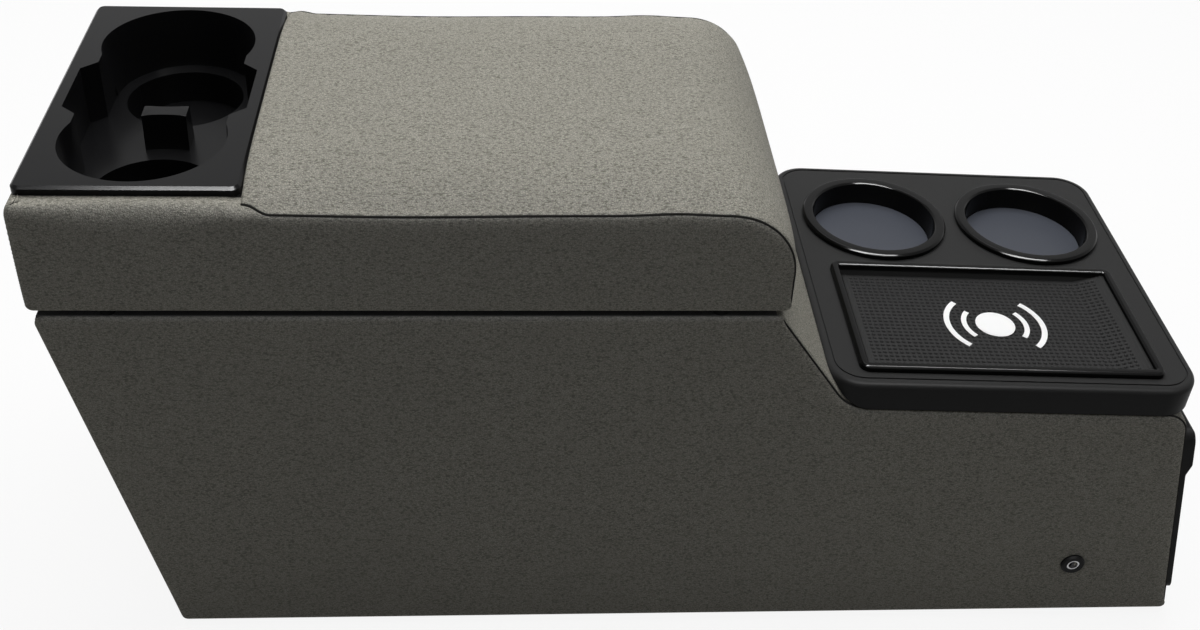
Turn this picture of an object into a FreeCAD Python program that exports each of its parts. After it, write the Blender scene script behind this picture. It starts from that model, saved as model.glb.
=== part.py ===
import FreeCAD, Part
import math
import os

# Centre console organizer: a leatherette-covered storage box with a hinged armrest lid, a
# twin cup insert in the lid, and a front tray with two cup rings and a phone charging pad.
# Millimetres. +X towards the vehicle's front, +Y towards its left side, +Z up. The origin is
# on the floor, midway between the box's rear overhang and its front foot.

# Body shell, seen from the side
body_width = 240.0
base_pad_height = 4.0
base_pad_side_inset = 6.0
base_pad_rear_inset = 10.0
base_pad_front_inset = 7.0
base_pad_corner = 8.0
rim_height = 240.0
rear_foot_x = -289.0
rear_rim_x = -339.5
riser_rim_x = 64.0
riser_foot_x = 110.0
shoulder_x = 313.5
front_foot_x = 342.5
foot_round = 4.0
rim_round = 5.0
riser_round = 25.0
shoulder_round = 16.0
board = 9.0
cover = 2.5
cover_edge_bevel = 1.5

# Tray on the front shelf
tray_mid_x = 206.6
shelf_mid_z = 171.86
tray_tilt = 2.02
tray_length = 222.0
tray_side_inset = 0.5
tray_height = 18.5
tray_corner = 22.0
tray_wall = 3.0
tray_edge_round = 4.0
groove_inset = 4.8
groove_width = 1.2
groove_depth = 0.7
tray_boss_radius = 4.0
tray_screw_reach = 85.0
tray_screw_wall_gap = 5.5
seat_clearance = 0.3

# Cup rings in the tray
tray_fitting_offset = -0.5
cup_spacing = 103.2
tray_fitting_gap = 6.3
tray_fitting_shift = 4.25
cup_ring_radius = 47.2
cup_mouth_radius = 40.0
cup_floor_radius = 39.0
cup_wall = 1.8
cup_ring_proud = 4.0
cup_ring_bevel = 2.0
cup_mouth_bevel = 1.0
cup_depth = 15.0
cup_floor = 2.0
cup_mat = 1.5
cup_mat_clearance = 0.4

# Charging pad in the tray
pad_length = 182.0
pad_width = 108.0
pad_rim = 5.0
pad_rim_proud = 4.0
pad_rim_bevel = 1.5
pad_corner = 6.0
pad_recess = 7.5
pad_collar = 2.0
pad_floor = 2.0
mat_thickness = 1.6
mat_ramp_run = 19.0
mat_ramp_rise = 5.0
mat_lip = 1.0
housing_length = 140.0
housing_width = 78.0
housing_height = 9.5
housing_wall = 2.0
housing_post_radius = 3.0
housing_post_height = 1.0
coil_outer_radius = 24.0
coil_inner_radius = 10.0
coil_thickness = 1.5
ferrite_size = 56.0
ferrite_thickness = 1.0
circuit_length = 110.0
circuit_width = 60.0
circuit_thickness = 1.6
circuit_part_height = 1.6

# Power socket in the right side, and its lead to the charging pad
jack_x = 270.0
jack_z = 47.0
jack_flange_radius = 7.5
jack_flange = 2.2
jack_flange_bevel = 1.0
jack_barrel_radius = 5.6
jack_reach = 18.0
jack_back = 4.0
jack_sleeve_radius = 4.0
jack_sleeve_bore = 2.9
jack_sleeve_sink = 0.5
jack_pin_radius = 1.0
jack_pin_sink = 4.0
jack_nut_flats = 14.0
jack_nut = 3.0
fit_gap = 0.05
hole_gap = 0.3
lead_radius = 2.0
lead_bend = 28.0
lead_run_in = 10.0
lead_hole_radius = 4.0

# Access panel on the front
access_side_inset = 4.0
access_foot_z = 16.0
access_top_z = 152.0
access_thickness = 3.0
access_lip_thickness = 6.5
access_lip_height = 34.0
access_lip_slope = 8.0
access_corner = 10.0
access_edge_round = 1.0
hatch_side_inset = 28.0
hatch_foot_z = 36.0
hatch_top_z = 106.0
hatch_corner = 8.0

# Lid
lid_gap = 4.0
lid_overhang = 3.0
lid_side_height = 62.0
lid_front_x = 68.6
lid_board = 10.0
nose_radius = 38.0
nose_swell = 2.1
nose_push = 0.5
nose_foot_round = 5.0
insert_seat_height = 65.0
lid_roll = 8.0
lid_rear_corner = 6.0
pad_crown = 10.5
pad_crown_power = 5
pad_tuck = 2.5

# Twin cup insert in the lid
insert_length = 116.4
insert_side_inset = 13.0
insert_plate = 5.0
insert_corner = 5.0
insert_edge_bevel = 1.5
insert_front_gap = 0.6
insert_rear_inset = 2.2
insert_wall = 2.5
insert_pocket_gap = 1.0
well_side_margin = 5.8
well_mouth_radius = 44.7
well_ledge_radius = 41.0
well_ledge_depth = 36.0
well_floor_radius = 34.5
well_floor_depth = 20.0
well_floor_shift = 3.3
notch_end_margin = 7.7
notch_half_width = 22.5
notch_shoulder_run = 8.7
notch_shoulder_width = 30.6
divider_length = 25.0
divider_top_width = 12.5
divider_foot_width = 17.0
divider_drop = 14.7
divider_scoop_radius = 60.0
divider_edge_round = 1.5

# Hinge and rim buffers
hinge_side_inset = 30.0
hinge_knuckles = 5
knuckle_radius = 3.0
knuckle_gap = 0.3
knuckle_groove = 3.4
hinge_pin_radius = 1.2
pin_grip_gap = 0.02
pin_running_gap = 0.06
leaf_thickness = 1.2
leaf_width = 10.0
hinge_screw_count = 4
hinge_screw_edge = 21.0
buffer_radius = 4.0
buffer_gap = 0.3
buffer_front_x = 30.0
buffer_rear_x = -300.0

# Screws
wood_screw_radius = 1.25
wood_screw_length = 8.0
wood_screw_head_radius = 2.5
wood_screw_head = 1.2
panel_screw_radius = 1.5
panel_screw_head_radius = 3.5
panel_screw_head = 2.0
panel_screw_grip = 7.0
panel_screw_edge = 12.0
tray_screw_bite = 10.0

half_width = body_width / 2
inner_half = half_width - cover
bay_half = inner_half - board
tray_width = body_width - 2 * tray_side_inset
tray_margin = (tray_width - 2 * cup_ring_radius - pad_width - tray_fitting_gap) / 2
cup_offset_y = tray_width / 2 - tray_margin - tray_fitting_shift - cup_ring_radius
pad_mid_y = cup_offset_y - cup_ring_radius - tray_fitting_gap - pad_width / 2
access_half_width = half_width - access_side_inset
hatch_half_width = access_half_width - hatch_side_inset
insert_width = body_width - 2 * insert_side_inset
well_offset = insert_width / 2 - well_side_margin - well_mouth_radius
notch_half_length = insert_length / 2 - notch_end_margin
notch_shoulder_length = notch_half_length - notch_shoulder_run
hinge_length = body_width - 2 * hinge_side_inset
hinge_screw_pitch = (hinge_length - 2 * hinge_screw_edge) / (hinge_screw_count - 1)
lid_bottom = rim_height + lid_gap
lid_rear_x = rear_rim_x - lid_overhang
lid_seam_z = lid_bottom + lid_side_height
insert_seat_z = lid_bottom + insert_seat_height
insert_top_z = insert_seat_z + insert_plate
pad_rear_x = lid_rear_x + insert_rear_inset + insert_length + insert_front_gap
insert_mid_x = pad_rear_x - insert_front_gap - insert_length / 2
hinge_x = rear_rim_x
hinge_z = rim_height + lid_gap / 2
tilt_slope = math.tan(math.radians(tray_tilt))
OVERRUN = 50.0


def vec(x, y, z):
    """Short name for a point."""
    return FreeCAD.Vector(x, y, z)


def outline(corners, place):
    """Closed wire through (a, b, radius) corners, with a tangent arc at each rounded one."""
    count = len(corners)
    ends = []
    for i, (a, b, radius) in enumerate(corners):
        here = vec(a, b, 0)
        before = corners[i - 1]
        after = corners[(i + 1) % count]
        back = (vec(before[0], before[1], 0) - here).normalize()
        ahead = (vec(after[0], after[1], 0) - here).normalize()
        if radius <= 0:
            ends.append((here, here, here))
            continue
        half_turn = back.getAngle(ahead) / 2
        reach = radius / math.tan(half_turn)
        inward = (back + ahead).normalize()
        middle = here + inward * (radius / math.sin(half_turn) - radius)
        ends.append((here + back * reach, middle, here + ahead * reach))
    edges = []
    for i, (start, middle, stop) in enumerate(ends):
        if start.distanceToPoint(stop) > 1e-7:
            edges.append(Part.Arc(place(start), place(middle), place(stop)).toShape())
        following = ends[(i + 1) % count][0]
        if stop.distanceToPoint(following) > 1e-7:
            edges.append(Part.LineSegment(place(stop), place(following)).toShape())
    return Part.Wire(edges)


def side_slab(corners, y0, y1):
    """Side-view outline of (x, z, radius) corners, made solid from y0 to y1."""
    wire = outline(corners, lambda p: vec(p.x, y0, p.y))
    return Part.Face(wire).extrude(vec(0, y1 - y0, 0))


def plan_slab(corners, z0, z1):
    """Plan outline of (x, y, radius) corners, made solid from z0 to z1."""
    wire = outline(corners, lambda p: vec(p.x, p.y, z0))
    return Part.Face(wire).extrude(vec(0, 0, z1 - z0))


def end_slab(corners, x0, x1):
    """End-view outline of (y, z, radius) corners, made solid from x0 to x1."""
    wire = outline(corners, lambda p: vec(x0, p.x, p.y))
    return Part.Face(wire).extrude(vec(x1 - x0, 0, 0))


def rectangle(length, width, radius, mid_x=0.0, mid_y=0.0):
    """Corners of a rounded rectangle about its middle."""
    a = length / 2
    b = width / 2
    signs = ((-1, -1), (1, -1), (1, 1), (-1, 1))
    return [(mid_x + a * i, mid_y + b * j, radius) for i, j in signs]


def block(x0, x1, y0, y1, z0, z1):
    """Box between two corners."""
    return Part.makeBox(x1 - x0, y1 - y0, z1 - z0, vec(x0, y0, z0))


def rod(radius, start, stop):
    """Round bar from one point to another."""
    run = stop - start
    return Part.makeCylinder(radius, run.Length, start, run)


def edges_where(solid, chosen):
    """Edges whose ends and middle all satisfy the test."""
    edges = []
    for edge in solid.Edges:
        middle = edge.valueAt((edge.FirstParameter + edge.LastParameter) / 2)
        points = [vertex.Point for vertex in edge.Vertexes] + [middle]
        if all(chosen(point) for point in points):
            edges.append(edge)
    return edges


def on_level(z):
    """Test for points at one height."""
    return lambda point: abs(point.z - z) < 1e-6


def shifted(line, distance):
    """A side-view line moved to the left of its direction, which is inwards on the body."""
    (x1, z1), (x2, z2) = line
    length = math.hypot(x2 - x1, z2 - z1)
    dx = (z1 - z2) / length * distance
    dz = (x2 - x1) / length * distance
    return ((x1 + dx, z1 + dz), (x2 + dx, z2 + dz))


def at_height(line, z):
    """Point of a side-view line at a height."""
    (x1, z1), (x2, z2) = line
    return (x1 + (x2 - x1) * (z - z1) / (z2 - z1), z)


def meet(first, second):
    """Crossing point of two side-view lines."""
    (x1, z1), (x2, z2) = first
    (x3, z3), (x4, z4) = second
    turn = (x1 - x2) * (z3 - z4) - (z1 - z2) * (x3 - x4)
    a = x1 * z2 - z1 * x2
    b = x3 * z4 - z3 * x4
    return ((a * (x3 - x4) - (x1 - x2) * b) / turn, (a * (z3 - z4) - (z1 - z2) * b) / turn)


def rounded(point, radius=0.0):
    """Side-view point as an outline corner."""
    return (point[0], point[1], radius)


def shelf_at(x):
    """Point of the shelf's covered top, which slopes down to the front."""
    return (x, shelf_mid_z - (x - tray_mid_x) * tilt_slope)


front_line = ((front_foot_x, base_pad_height), shelf_at(shoulder_x))
shelf_line = (shelf_at(shoulder_x), shelf_at(riser_foot_x))
riser_line = (shelf_at(riser_foot_x), (riser_rim_x, rim_height))
rear_line = ((rear_rim_x, rim_height), (rear_foot_x, base_pad_height))
front_in = shifted(front_line, cover)
shelf_in = shifted(shelf_line, cover)
riser_in = shifted(riser_line, cover)
rear_in = shifted(rear_line, cover)
front_board = shifted(front_line, cover + board)
shelf_board = shifted(shelf_line, cover + board)
riser_board = shifted(riser_line, cover + board)
rear_board = shifted(rear_line, cover + board)
floor_top = base_pad_height + board


def on_tray(shape):
    """Place a shape drawn flat on the tray's underside onto the sloping shelf."""
    placed = shape.copy()
    turn = FreeCAD.Rotation(vec(0, 1, 0), tray_tilt)
    seat = FreeCAD.Placement(vec(tray_mid_x, 0, shelf_mid_z), turn)
    placed.Placement = seat.multiply(placed.Placement)
    return placed


def off_tray(shape):
    """Bring a shape on the shelf back to the tray's own flat frame."""
    turn = FreeCAD.Rotation(vec(0, 1, 0), tray_tilt)
    seat = FreeCAD.Placement(vec(tray_mid_x, 0, shelf_mid_z), turn)
    flat = shape.copy()
    flat.Placement = seat.inverse().multiply(flat.Placement)
    return flat


def front_normal():
    """Outward direction of the leaning front."""
    (x1, z1), (x2, z2) = front_line
    return vec(z2 - z1, 0, x1 - x2).normalize()


def tray_fixings():
    """Tray screw places in the tray's own frame: two between the cups and the charging pad,
    and one beyond the cups."""
    pad_edge = pad_mid_y + pad_width / 2
    ring_edge = cup_offset_y - cup_ring_radius
    row_y = (pad_edge + ring_edge) / 2
    places = [vec(side * tray_screw_reach, row_y, 0) for side in (-1, 1)]
    return places + [vec(tray_fitting_offset, bay_half - tray_screw_wall_gap, 0)]


def panel_fixings():
    """Access panel screw places on the covered front, at the panel's corners."""
    places = []
    for z in (access_foot_z + panel_screw_edge, access_top_z - access_lip_height - panel_screw_edge):
        x = at_height(front_line, z)[0]
        for side in (-1, 1):
            places.append(vec(x, side * (access_half_width - panel_screw_edge), z))
    return places


def hinge_fixings():
    """Distances of the hinge screws along the hinge."""
    first = -hinge_screw_pitch * (hinge_screw_count - 1) / 2
    return [first + hinge_screw_pitch * i for i in range(hinge_screw_count)]


def jack_hole():
    """Hole through the right side for the power socket's barrel."""
    radius = jack_barrel_radius + hole_gap
    return rod(radius, vec(jack_x, -half_width - OVERRUN, jack_z), vec(jack_x, 0, jack_z))


def lead_place():
    """Lead's exit from the charging pad's housing, below the circuit board."""
    y = -half_width + jack_reach + lead_run_in + lead_bend
    x_local = jack_x - tray_mid_x
    z = shelf_mid_z - x_local * tilt_slope + housing_bottom() + housing_wall + housing_post_height
    return vec(jack_x, y, z - hole_gap)


def lead_hole():
    """Upright hole that lets the lead down from the housing through the shelf."""
    top = lead_place()
    return rod(lead_hole_radius, vec(top.x, top.y, top.z - OVERRUN), top)


def knuckle_channel():
    """Round channel along the rear rim that the hinge barrel turns in."""
    reach = hinge_length / 2 + 1.0
    return rod(knuckle_groove, vec(hinge_x, -reach, hinge_z), vec(hinge_x, reach, hinge_z))


def base_pad():
    """Non-slip pad under the box, set in from its covers."""
    x0 = rear_foot_x + base_pad_rear_inset
    x1 = front_foot_x - base_pad_front_inset
    width = body_width - 2 * base_pad_side_inset
    corners = rectangle(x1 - x0, width, base_pad_corner, (x0 + x1) / 2)
    return plan_slab(corners, 0, base_pad_height)


def base_board():
    """Floor board between the side panels."""
    low = base_pad_height
    points = (at_height(rear_in, low), at_height(front_in, low))
    points += (at_height(front_in, floor_top), at_height(rear_in, floor_top))
    return side_slab([rounded(p) for p in points], -bay_half, bay_half)


def panel_corners():
    """Outline that the boards fill, inside the covers on every edge."""
    low = base_pad_height
    return [
        rounded(at_height(rear_in, low)),
        rounded(at_height(front_in, low)),
        rounded(meet(front_in, shelf_in), shoulder_round - cover),
        rounded(meet(shelf_in, riser_in)),
        rounded(at_height(riser_in, rim_height)),
        rounded(at_height(rear_in, rim_height)),
    ]


def side_panel(side):
    """Side board."""
    y0, y1 = sorted((side * bay_half, side * inner_half))
    return side_slab(panel_corners(), y0, y1)


def leaning_board(points):
    """Cross board between the side panels, rounded over where their outline is."""
    plank = side_slab([rounded(p) for p in points], -bay_half, bay_half)
    return plank.common(side_slab(panel_corners(), -bay_half, bay_half))


def rear_panel():
    """Leaning rear board, with the hinge channel along its top."""
    panel = leaning_board([
        at_height(rear_in, floor_top),
        at_height(rear_board, floor_top),
        at_height(rear_board, rim_height),
        at_height(rear_in, rim_height),
    ])
    for screw in hinge_screws(-1, hole_gap / 3):
        panel = panel.cut(screw)
    return panel.cut(knuckle_channel())


def riser_panel():
    """Front board of the storage box, from its rim down to the shelf's underside."""
    return leaning_board([
        at_height(riser_in, rim_height),
        at_height(riser_board, rim_height),
        meet(riser_board, shelf_board),
        meet(riser_in, shelf_board),
    ])


def shelf_panel():
    """Sloping board under the tray, drilled for the tray's screws and the lead."""
    panel = leaning_board([
        meet(riser_in, shelf_in),
        meet(riser_in, shelf_board),
        meet(front_board, shelf_board),
        meet(front_board, shelf_in),
    ])
    return panel.cut(lead_hole()).cut(shelf_drilling())


def shelf_drilling():
    """Screw holes through the shelf, square to the tray."""
    reach = vec(0, 0, board + cover + OVERRUN)
    radius = panel_screw_radius + hole_gap
    return on_tray(Part.makeCompound([rod(radius, p - reach, p) for p in tray_fixings()]))


def hatch():
    """Opening through the front, behind the access panel."""
    height = hatch_top_z - hatch_foot_z
    corners = rectangle(2 * hatch_half_width, height, hatch_corner, 0, hatch_foot_z + height / 2)
    return end_slab(corners, shoulder_x - OVERRUN, front_foot_x + OVERRUN)


def front_panel():
    """Leaning front board, with its hatch and pilot holes."""
    panel = leaning_board([
        at_height(front_in, floor_top),
        meet(front_in, shelf_in),
        meet(front_board, shelf_in),
        at_height(front_board, floor_top),
    ])
    return panel.cut(hatch()).cut(panel_drilling(fit_gap))


def panel_drilling(gap):
    """Holes for the access panel's screws, square to the front."""
    reach = front_normal() * OVERRUN
    places = panel_fixings()
    return Part.makeCompound([rod(panel_screw_radius + gap, p - reach, p + reach) for p in places])


def body_corners():
    """Outline of the covered body from the side."""
    low = base_pad_height
    return [
        (rear_foot_x, low, foot_round),
        (front_foot_x, low, foot_round),
        rounded(front_line[1], shoulder_round),
        rounded(riser_line[0], riser_round),
        (riser_rim_x, rim_height, rim_round),
        (rear_rim_x, rim_height, rim_round),
    ]


def side_cover(side):
    """Leatherette side, turned over at its edge."""
    y0, y1 = sorted((side * inner_half, side * half_width))
    skin = side_slab(body_corners(), y0, y1)
    rim = edges_where(skin, lambda p: abs(p.y - side * half_width) < 1e-6)
    return skin.makeChamfer(cover_edge_bevel, rim)


def rear_cover():
    """Leatherette over the leaning rear, cleared for the hinge barrel."""
    points = (at_height(rear_line, rim_height), at_height(rear_line, base_pad_height))
    points += (at_height(rear_in, base_pad_height), at_height(rear_in, rim_height))
    skin = side_slab([rounded(p) for p in points], -inner_half, inner_half)
    return skin.cut(knuckle_channel())


def front_wrap_cover():
    """Leatherette that runs down the riser, along the shelf and over the front in one strip."""
    corners = [
        (riser_rim_x, rim_height, 0),
        rounded(riser_line[0]),
        rounded(front_line[1], shoulder_round),
        (front_foot_x, base_pad_height, 0),
        rounded(at_height(front_in, base_pad_height)),
        rounded(meet(front_in, shelf_in), shoulder_round - cover),
        rounded(meet(shelf_in, riser_in)),
        rounded(at_height(riser_in, rim_height)),
    ]
    skin = side_slab(corners, -inner_half, inner_half)
    skin = skin.cut(hatch()).cut(panel_drilling(hole_gap))
    return skin.cut(lead_hole()).cut(shelf_drilling())


def cup_places():
    """Middles of the tray's two cup rings, rear first, in the tray's own frame."""
    first = tray_fitting_offset - cup_spacing / 2
    return [vec(first, cup_offset_y, 0), vec(first + cup_spacing, cup_offset_y, 0)]


def tray_body():
    """Moulded tray: a skirted shell with two round holes, the pad's opening and screw bosses.
    Its rear wall leans back along the riser and rounds into the body's hollow corner."""
    shell = plan_slab(rectangle(tray_length, tray_width, tray_corner), 0, tray_height)
    shell = shell.makeFillet(tray_edge_round, edges_where(shell, on_level(tray_height)))
    hollow_corners = rectangle(
        tray_length - 2 * tray_wall, tray_width - 2 * tray_wall, tray_corner - tray_wall
    )
    hollow = plan_slab(hollow_corners, 0, tray_height - tray_wall)
    hollow = off_tray(on_tray(hollow).cut(behind_riser(seat_clearance + tray_wall)))
    for place in tray_fixings():
        boss = Part.makeCylinder(tray_boss_radius, tray_height, place)
        hollow = hollow.cut(boss)
        pilot = Part.makeCylinder(panel_screw_radius + fit_gap, tray_screw_bite + tray_wall, place)
        shell = shell.cut(pilot)
    shell = shell.cut(hollow)
    for place in cup_places():
        hole_radius = cup_mouth_radius + cup_wall + seat_clearance
        shell = shell.cut(Part.makeCylinder(hole_radius, tray_height, place))
    opening = plan_slab(pad_rectangle(pad_rim - pad_collar - seat_clearance), 0, tray_height)
    shell = shell.cut(opening)
    return on_tray(shell.cut(tray_groove())).cut(behind_riser(seat_clearance))


def behind_riser(gap):
    """The covered body, pushed forward along its shelf until the riser has moved by a gap."""
    foot = meet(shifted(riser_line, -gap), shelf_line)
    body = side_slab(body_corners(), -body_width, body_width)
    body.translate(vec(foot[0] - riser_line[0][0], 0, foot[1] - riser_line[0][1]))
    return body


def tray_groove():
    """Fine line moulded round the tray's top, just inside its edge."""
    low = tray_height - groove_depth
    rings = []
    for inset in (groove_inset, groove_inset + groove_width):
        corners = rectangle(
            tray_length - 2 * inset, tray_width - 2 * inset, max(tray_corner - inset, 1.0)
        )
        rings.append(plan_slab(corners, low, tray_height))
    return rings[0].cut(rings[1])


def tray_screws():
    """Screws that hold the tray from under the shelf."""
    under = -(board + cover)
    screws = []
    for place in tray_fixings():
        seat = place + vec(0, 0, under)
        head = rod(panel_screw_head_radius, seat - vec(0, 0, panel_screw_head), seat)
        shank = rod(panel_screw_radius, seat, place + vec(0, 0, tray_screw_bite))
        screws.append(head.fuse(shank).removeSplitter())
    return on_tray(Part.makeCompound(screws))


def cup_holder(place):
    """Drop-in cup: a bevelled ring on the tray, a tapering wall and a floor, in one piece."""
    top = tray_height + cup_ring_proud
    floor_z = top - cup_depth - cup_mat
    outer = cup_mouth_radius + cup_wall
    corners = [
        vec(cup_ring_radius - cup_ring_bevel, 0, top),
        vec(cup_mouth_radius + cup_mouth_bevel, 0, top),
        vec(cup_mouth_radius, 0, top - cup_mouth_bevel),
        vec(cup_floor_radius, 0, floor_z),
        vec(0, 0, floor_z),
        vec(0, 0, floor_z - cup_floor),
        vec(outer, 0, floor_z - cup_floor),
        vec(outer, 0, tray_height),
        vec(cup_ring_radius, 0, tray_height),
        vec(cup_ring_radius, 0, top - cup_ring_bevel),
    ]
    section = Part.Face(Part.makePolygon(corners + corners[:1]))
    cup = section.revolve(vec(0, 0, 0), vec(0, 0, 1), 360)
    cup.translate(place)
    return on_tray(cup)


def cup_mat_disc(place):
    """Soft disc on a cup's floor."""
    floor_z = tray_height + cup_ring_proud - cup_depth - cup_mat
    radius = cup_floor_radius - cup_mat_clearance
    return on_tray(Part.makeCylinder(radius, cup_mat, place + vec(0, 0, floor_z)))


def pad_rectangle(inset):
    """Corners of the charging pad's outline, moved in by a distance."""
    radius = max(pad_corner - inset, 1.0)
    length = pad_length - 2 * inset
    width = pad_width - 2 * inset
    return rectangle(length, width, radius, tray_fitting_offset, pad_mid_y)


def pad_centred(length, width, radius):
    """Corners of a rectangle about the charging pad's middle."""
    return rectangle(length, width, radius, tray_fitting_offset, pad_mid_y)


def pad_top():
    """Height of the charging pad's rim over the tray's underside."""
    return tray_height + pad_rim_proud


def pad_floor_top():
    """Height that the rubber mat lies on."""
    return pad_top() - pad_recess - mat_thickness


def housing_bottom():
    """Height of the charging housing's underside."""
    return pad_floor_top() - pad_floor - housing_height


def charger_frame():
    """Pan of the charging pad: a bevelled rim on the tray, a collar through it and a floor."""
    rim = plan_slab(pad_rectangle(0), tray_height, pad_top())
    rim = rim.makeChamfer(pad_rim_bevel, edges_where(rim, on_level(pad_top())))
    collar = plan_slab(
        pad_rectangle(pad_rim - pad_collar), pad_floor_top() - pad_floor, tray_height
    )
    recess = plan_slab(pad_rectangle(pad_rim), pad_floor_top(), pad_top())
    return on_tray(rim.fuse(collar).cut(recess).removeSplitter())


def charger_mat():
    """Rubber mat of the pad: flat, with a ramp up to a thin lip at its front end."""
    low = pad_floor_top()
    flat = low + mat_thickness
    lip_top = flat + mat_ramp_rise
    inset = pad_rim + seat_clearance
    body = plan_slab(pad_rectangle(inset), low, lip_top)
    front = tray_fitting_offset + pad_length / 2 - inset
    rear = tray_fitting_offset - pad_length
    above = [
        (rear, flat, 0),
        (front - mat_ramp_run, flat, 0),
        (front - mat_lip, lip_top, 0),
        (rear, lip_top, 0),
    ]
    return on_tray(body.cut(side_slab(above, -body_width, body_width)))


def charger_housing():
    """Tub under the pad that closes in the coil and the circuit board, with four posts."""
    low = housing_bottom()
    high = pad_floor_top() - pad_floor
    walls = pad_centred(housing_length, housing_width, pad_corner)
    room = pad_centred(
        housing_length - 2 * housing_wall,
        housing_width - 2 * housing_wall,
        pad_corner - housing_wall,
    )
    tub = plan_slab(walls, low, high).cut(plan_slab(room, low + housing_wall, high))
    inset = 2 * housing_post_radius
    for x, y, _ in pad_centred(circuit_length - 2 * inset, circuit_width - 2 * inset, 0):
        place = vec(x, y, low + housing_wall)
        tub = tub.fuse(Part.makeCylinder(housing_post_radius, housing_post_height, place))
    return on_tray(tub.removeSplitter()).cut(lead_hole())


def charging_coil():
    """Flat charging coil, fixed under the pad's floor."""
    high = pad_floor_top() - pad_floor
    base = vec(tray_fitting_offset, pad_mid_y, high - coil_thickness)
    ring = Part.makeCylinder(coil_outer_radius, coil_thickness, base)
    return on_tray(ring.cut(Part.makeCylinder(coil_inner_radius, coil_thickness, base)))


def ferrite_plate():
    """Ferrite sheet that backs the coil."""
    high = pad_floor_top() - pad_floor - coil_thickness
    corners = pad_centred(ferrite_size, ferrite_size, 1.0)
    return on_tray(plan_slab(corners, high - ferrite_thickness, high))


def circuit_board():
    """Driver board on the housing's posts, with its tallest parts."""
    low = housing_bottom() + housing_wall + housing_post_height
    high = low + circuit_thickness
    deck = plan_slab(pad_centred(circuit_length, circuit_width, 2.0), low, high)
    for share, size in ((-0.3, 10.0), (0.0, 8.0), (0.3, 12.0)):
        mid_x = tray_fitting_offset + share * circuit_length
        chip = rectangle(size, size, 0, mid_x, pad_mid_y)
        deck = deck.fuse(plan_slab(chip, high, high + circuit_part_height))
    return on_tray(deck.removeSplitter())


def charger_lead():
    """Lead from the circuit board down through the shelf and round to the socket's back."""
    start = lead_place()
    bend_low = vec(start.x, start.y - lead_bend, jack_z)
    bend_top = vec(start.x, start.y, jack_z + lead_bend)
    lag = lead_bend * (1 - math.sqrt(0.5))
    bend_mid = vec(start.x, start.y - lag, jack_z + lag)
    stop = vec(start.x, -half_width + jack_reach, jack_z)
    path = Part.Wire([
        Part.LineSegment(start, bend_top).toShape(),
        Part.Arc(bend_top, bend_mid, bend_low).toShape(),
        Part.LineSegment(bend_low, stop).toShape(),
    ])
    section = Part.Wire([Part.Circle(start, vec(0, 0, -1), lead_radius).toShape()])
    return path.makePipeShell([section], True, True)


def along_jack(depth):
    """Point on the socket's axis, a depth inside the right cover's face."""
    return vec(jack_x, -half_width + depth, jack_z)


def jack_body():
    """Socket moulding: round flange outside, barrel through the wall, closed back."""
    flange = rod(jack_flange_radius, along_jack(-jack_flange), along_jack(0))
    edge_y = -half_width - jack_flange
    rim = edges_where(flange, lambda p: abs(p.y - edge_y) < 1e-6)
    flange = flange.makeChamfer(jack_flange_bevel, rim)
    barrel = rod(jack_barrel_radius, along_jack(0), along_jack(jack_reach))
    bore = rod(
        jack_sleeve_radius + fit_gap, along_jack(-jack_flange), along_jack(jack_reach - jack_back)
    )
    pin_hole = rod(jack_pin_radius + fit_gap, along_jack(0), along_jack(jack_reach - jack_back / 2))
    return flange.fuse(barrel).removeSplitter().cut(bore).cut(pin_hole)


def jack_sleeve():
    """Metal contact tube of the socket."""
    near = along_jack(jack_sleeve_sink - jack_flange)
    far = along_jack(jack_reach - jack_back)
    return rod(jack_sleeve_radius, near, far).cut(rod(jack_sleeve_bore, near, far))


def jack_pin():
    """Centre pin of the socket, held in its closed back."""
    return rod(jack_pin_radius, along_jack(jack_pin_sink), along_jack(jack_reach - jack_back / 2))


def jack_nut_ring():
    """Hexagon nut that clamps the socket from inside the side panel."""
    inner = cover + board
    reach = jack_nut_flats / 2 / math.cos(math.pi / 6)
    corners = []
    for i in range(6):
        angle = math.pi / 3 * i
        corners.append((jack_x + reach * math.cos(angle), jack_z + reach * math.sin(angle), 0))
    nut = side_slab(corners, -half_width + inner, -half_width + inner + jack_nut)
    bore = rod(jack_barrel_radius + fit_gap, along_jack(0), along_jack(jack_reach))
    return nut.cut(bore)


def access_panel():
    """Moulded panel over the front hatch, with a thick finger lip along its top."""
    thin = shifted(front_line, -access_thickness)
    thick = shifted(front_line, -access_lip_thickness)
    lip_foot = access_top_z - access_lip_height
    corners = [
        rounded(at_height(front_line, access_foot_z)),
        rounded(at_height(thin, access_foot_z), access_edge_round),
        rounded(at_height(thin, lip_foot), access_lip_slope / 2),
        rounded(at_height(thick, lip_foot + access_lip_slope), access_lip_slope / 2),
        rounded(at_height(thick, access_top_z), access_lip_thickness / 2),
        rounded(at_height(front_line, access_top_z)),
    ]
    plate = side_slab(corners, -access_half_width, access_half_width)
    height = access_top_z - access_foot_z
    mask = rectangle(2 * access_half_width, height + 2, access_corner, 0, access_foot_z + height / 2)
    plate = plate.common(end_slab(mask, shoulder_x - OVERRUN, front_foot_x + OVERRUN))
    return plate.cut(panel_drilling(hole_gap))


def access_panel_screws():
    """Round-headed screws at the access panel's corners."""
    outward = front_normal()
    grip = cover + panel_screw_grip
    screws = []
    for place in panel_fixings():
        seat = place + outward * access_thickness
        head = rod(panel_screw_head_radius, seat, seat + outward * panel_screw_head)
        shank = rod(panel_screw_radius, place - outward * grip, seat)
        screws.append(head.fuse(shank).removeSplitter())
    return Part.makeCompound(screws)


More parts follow.
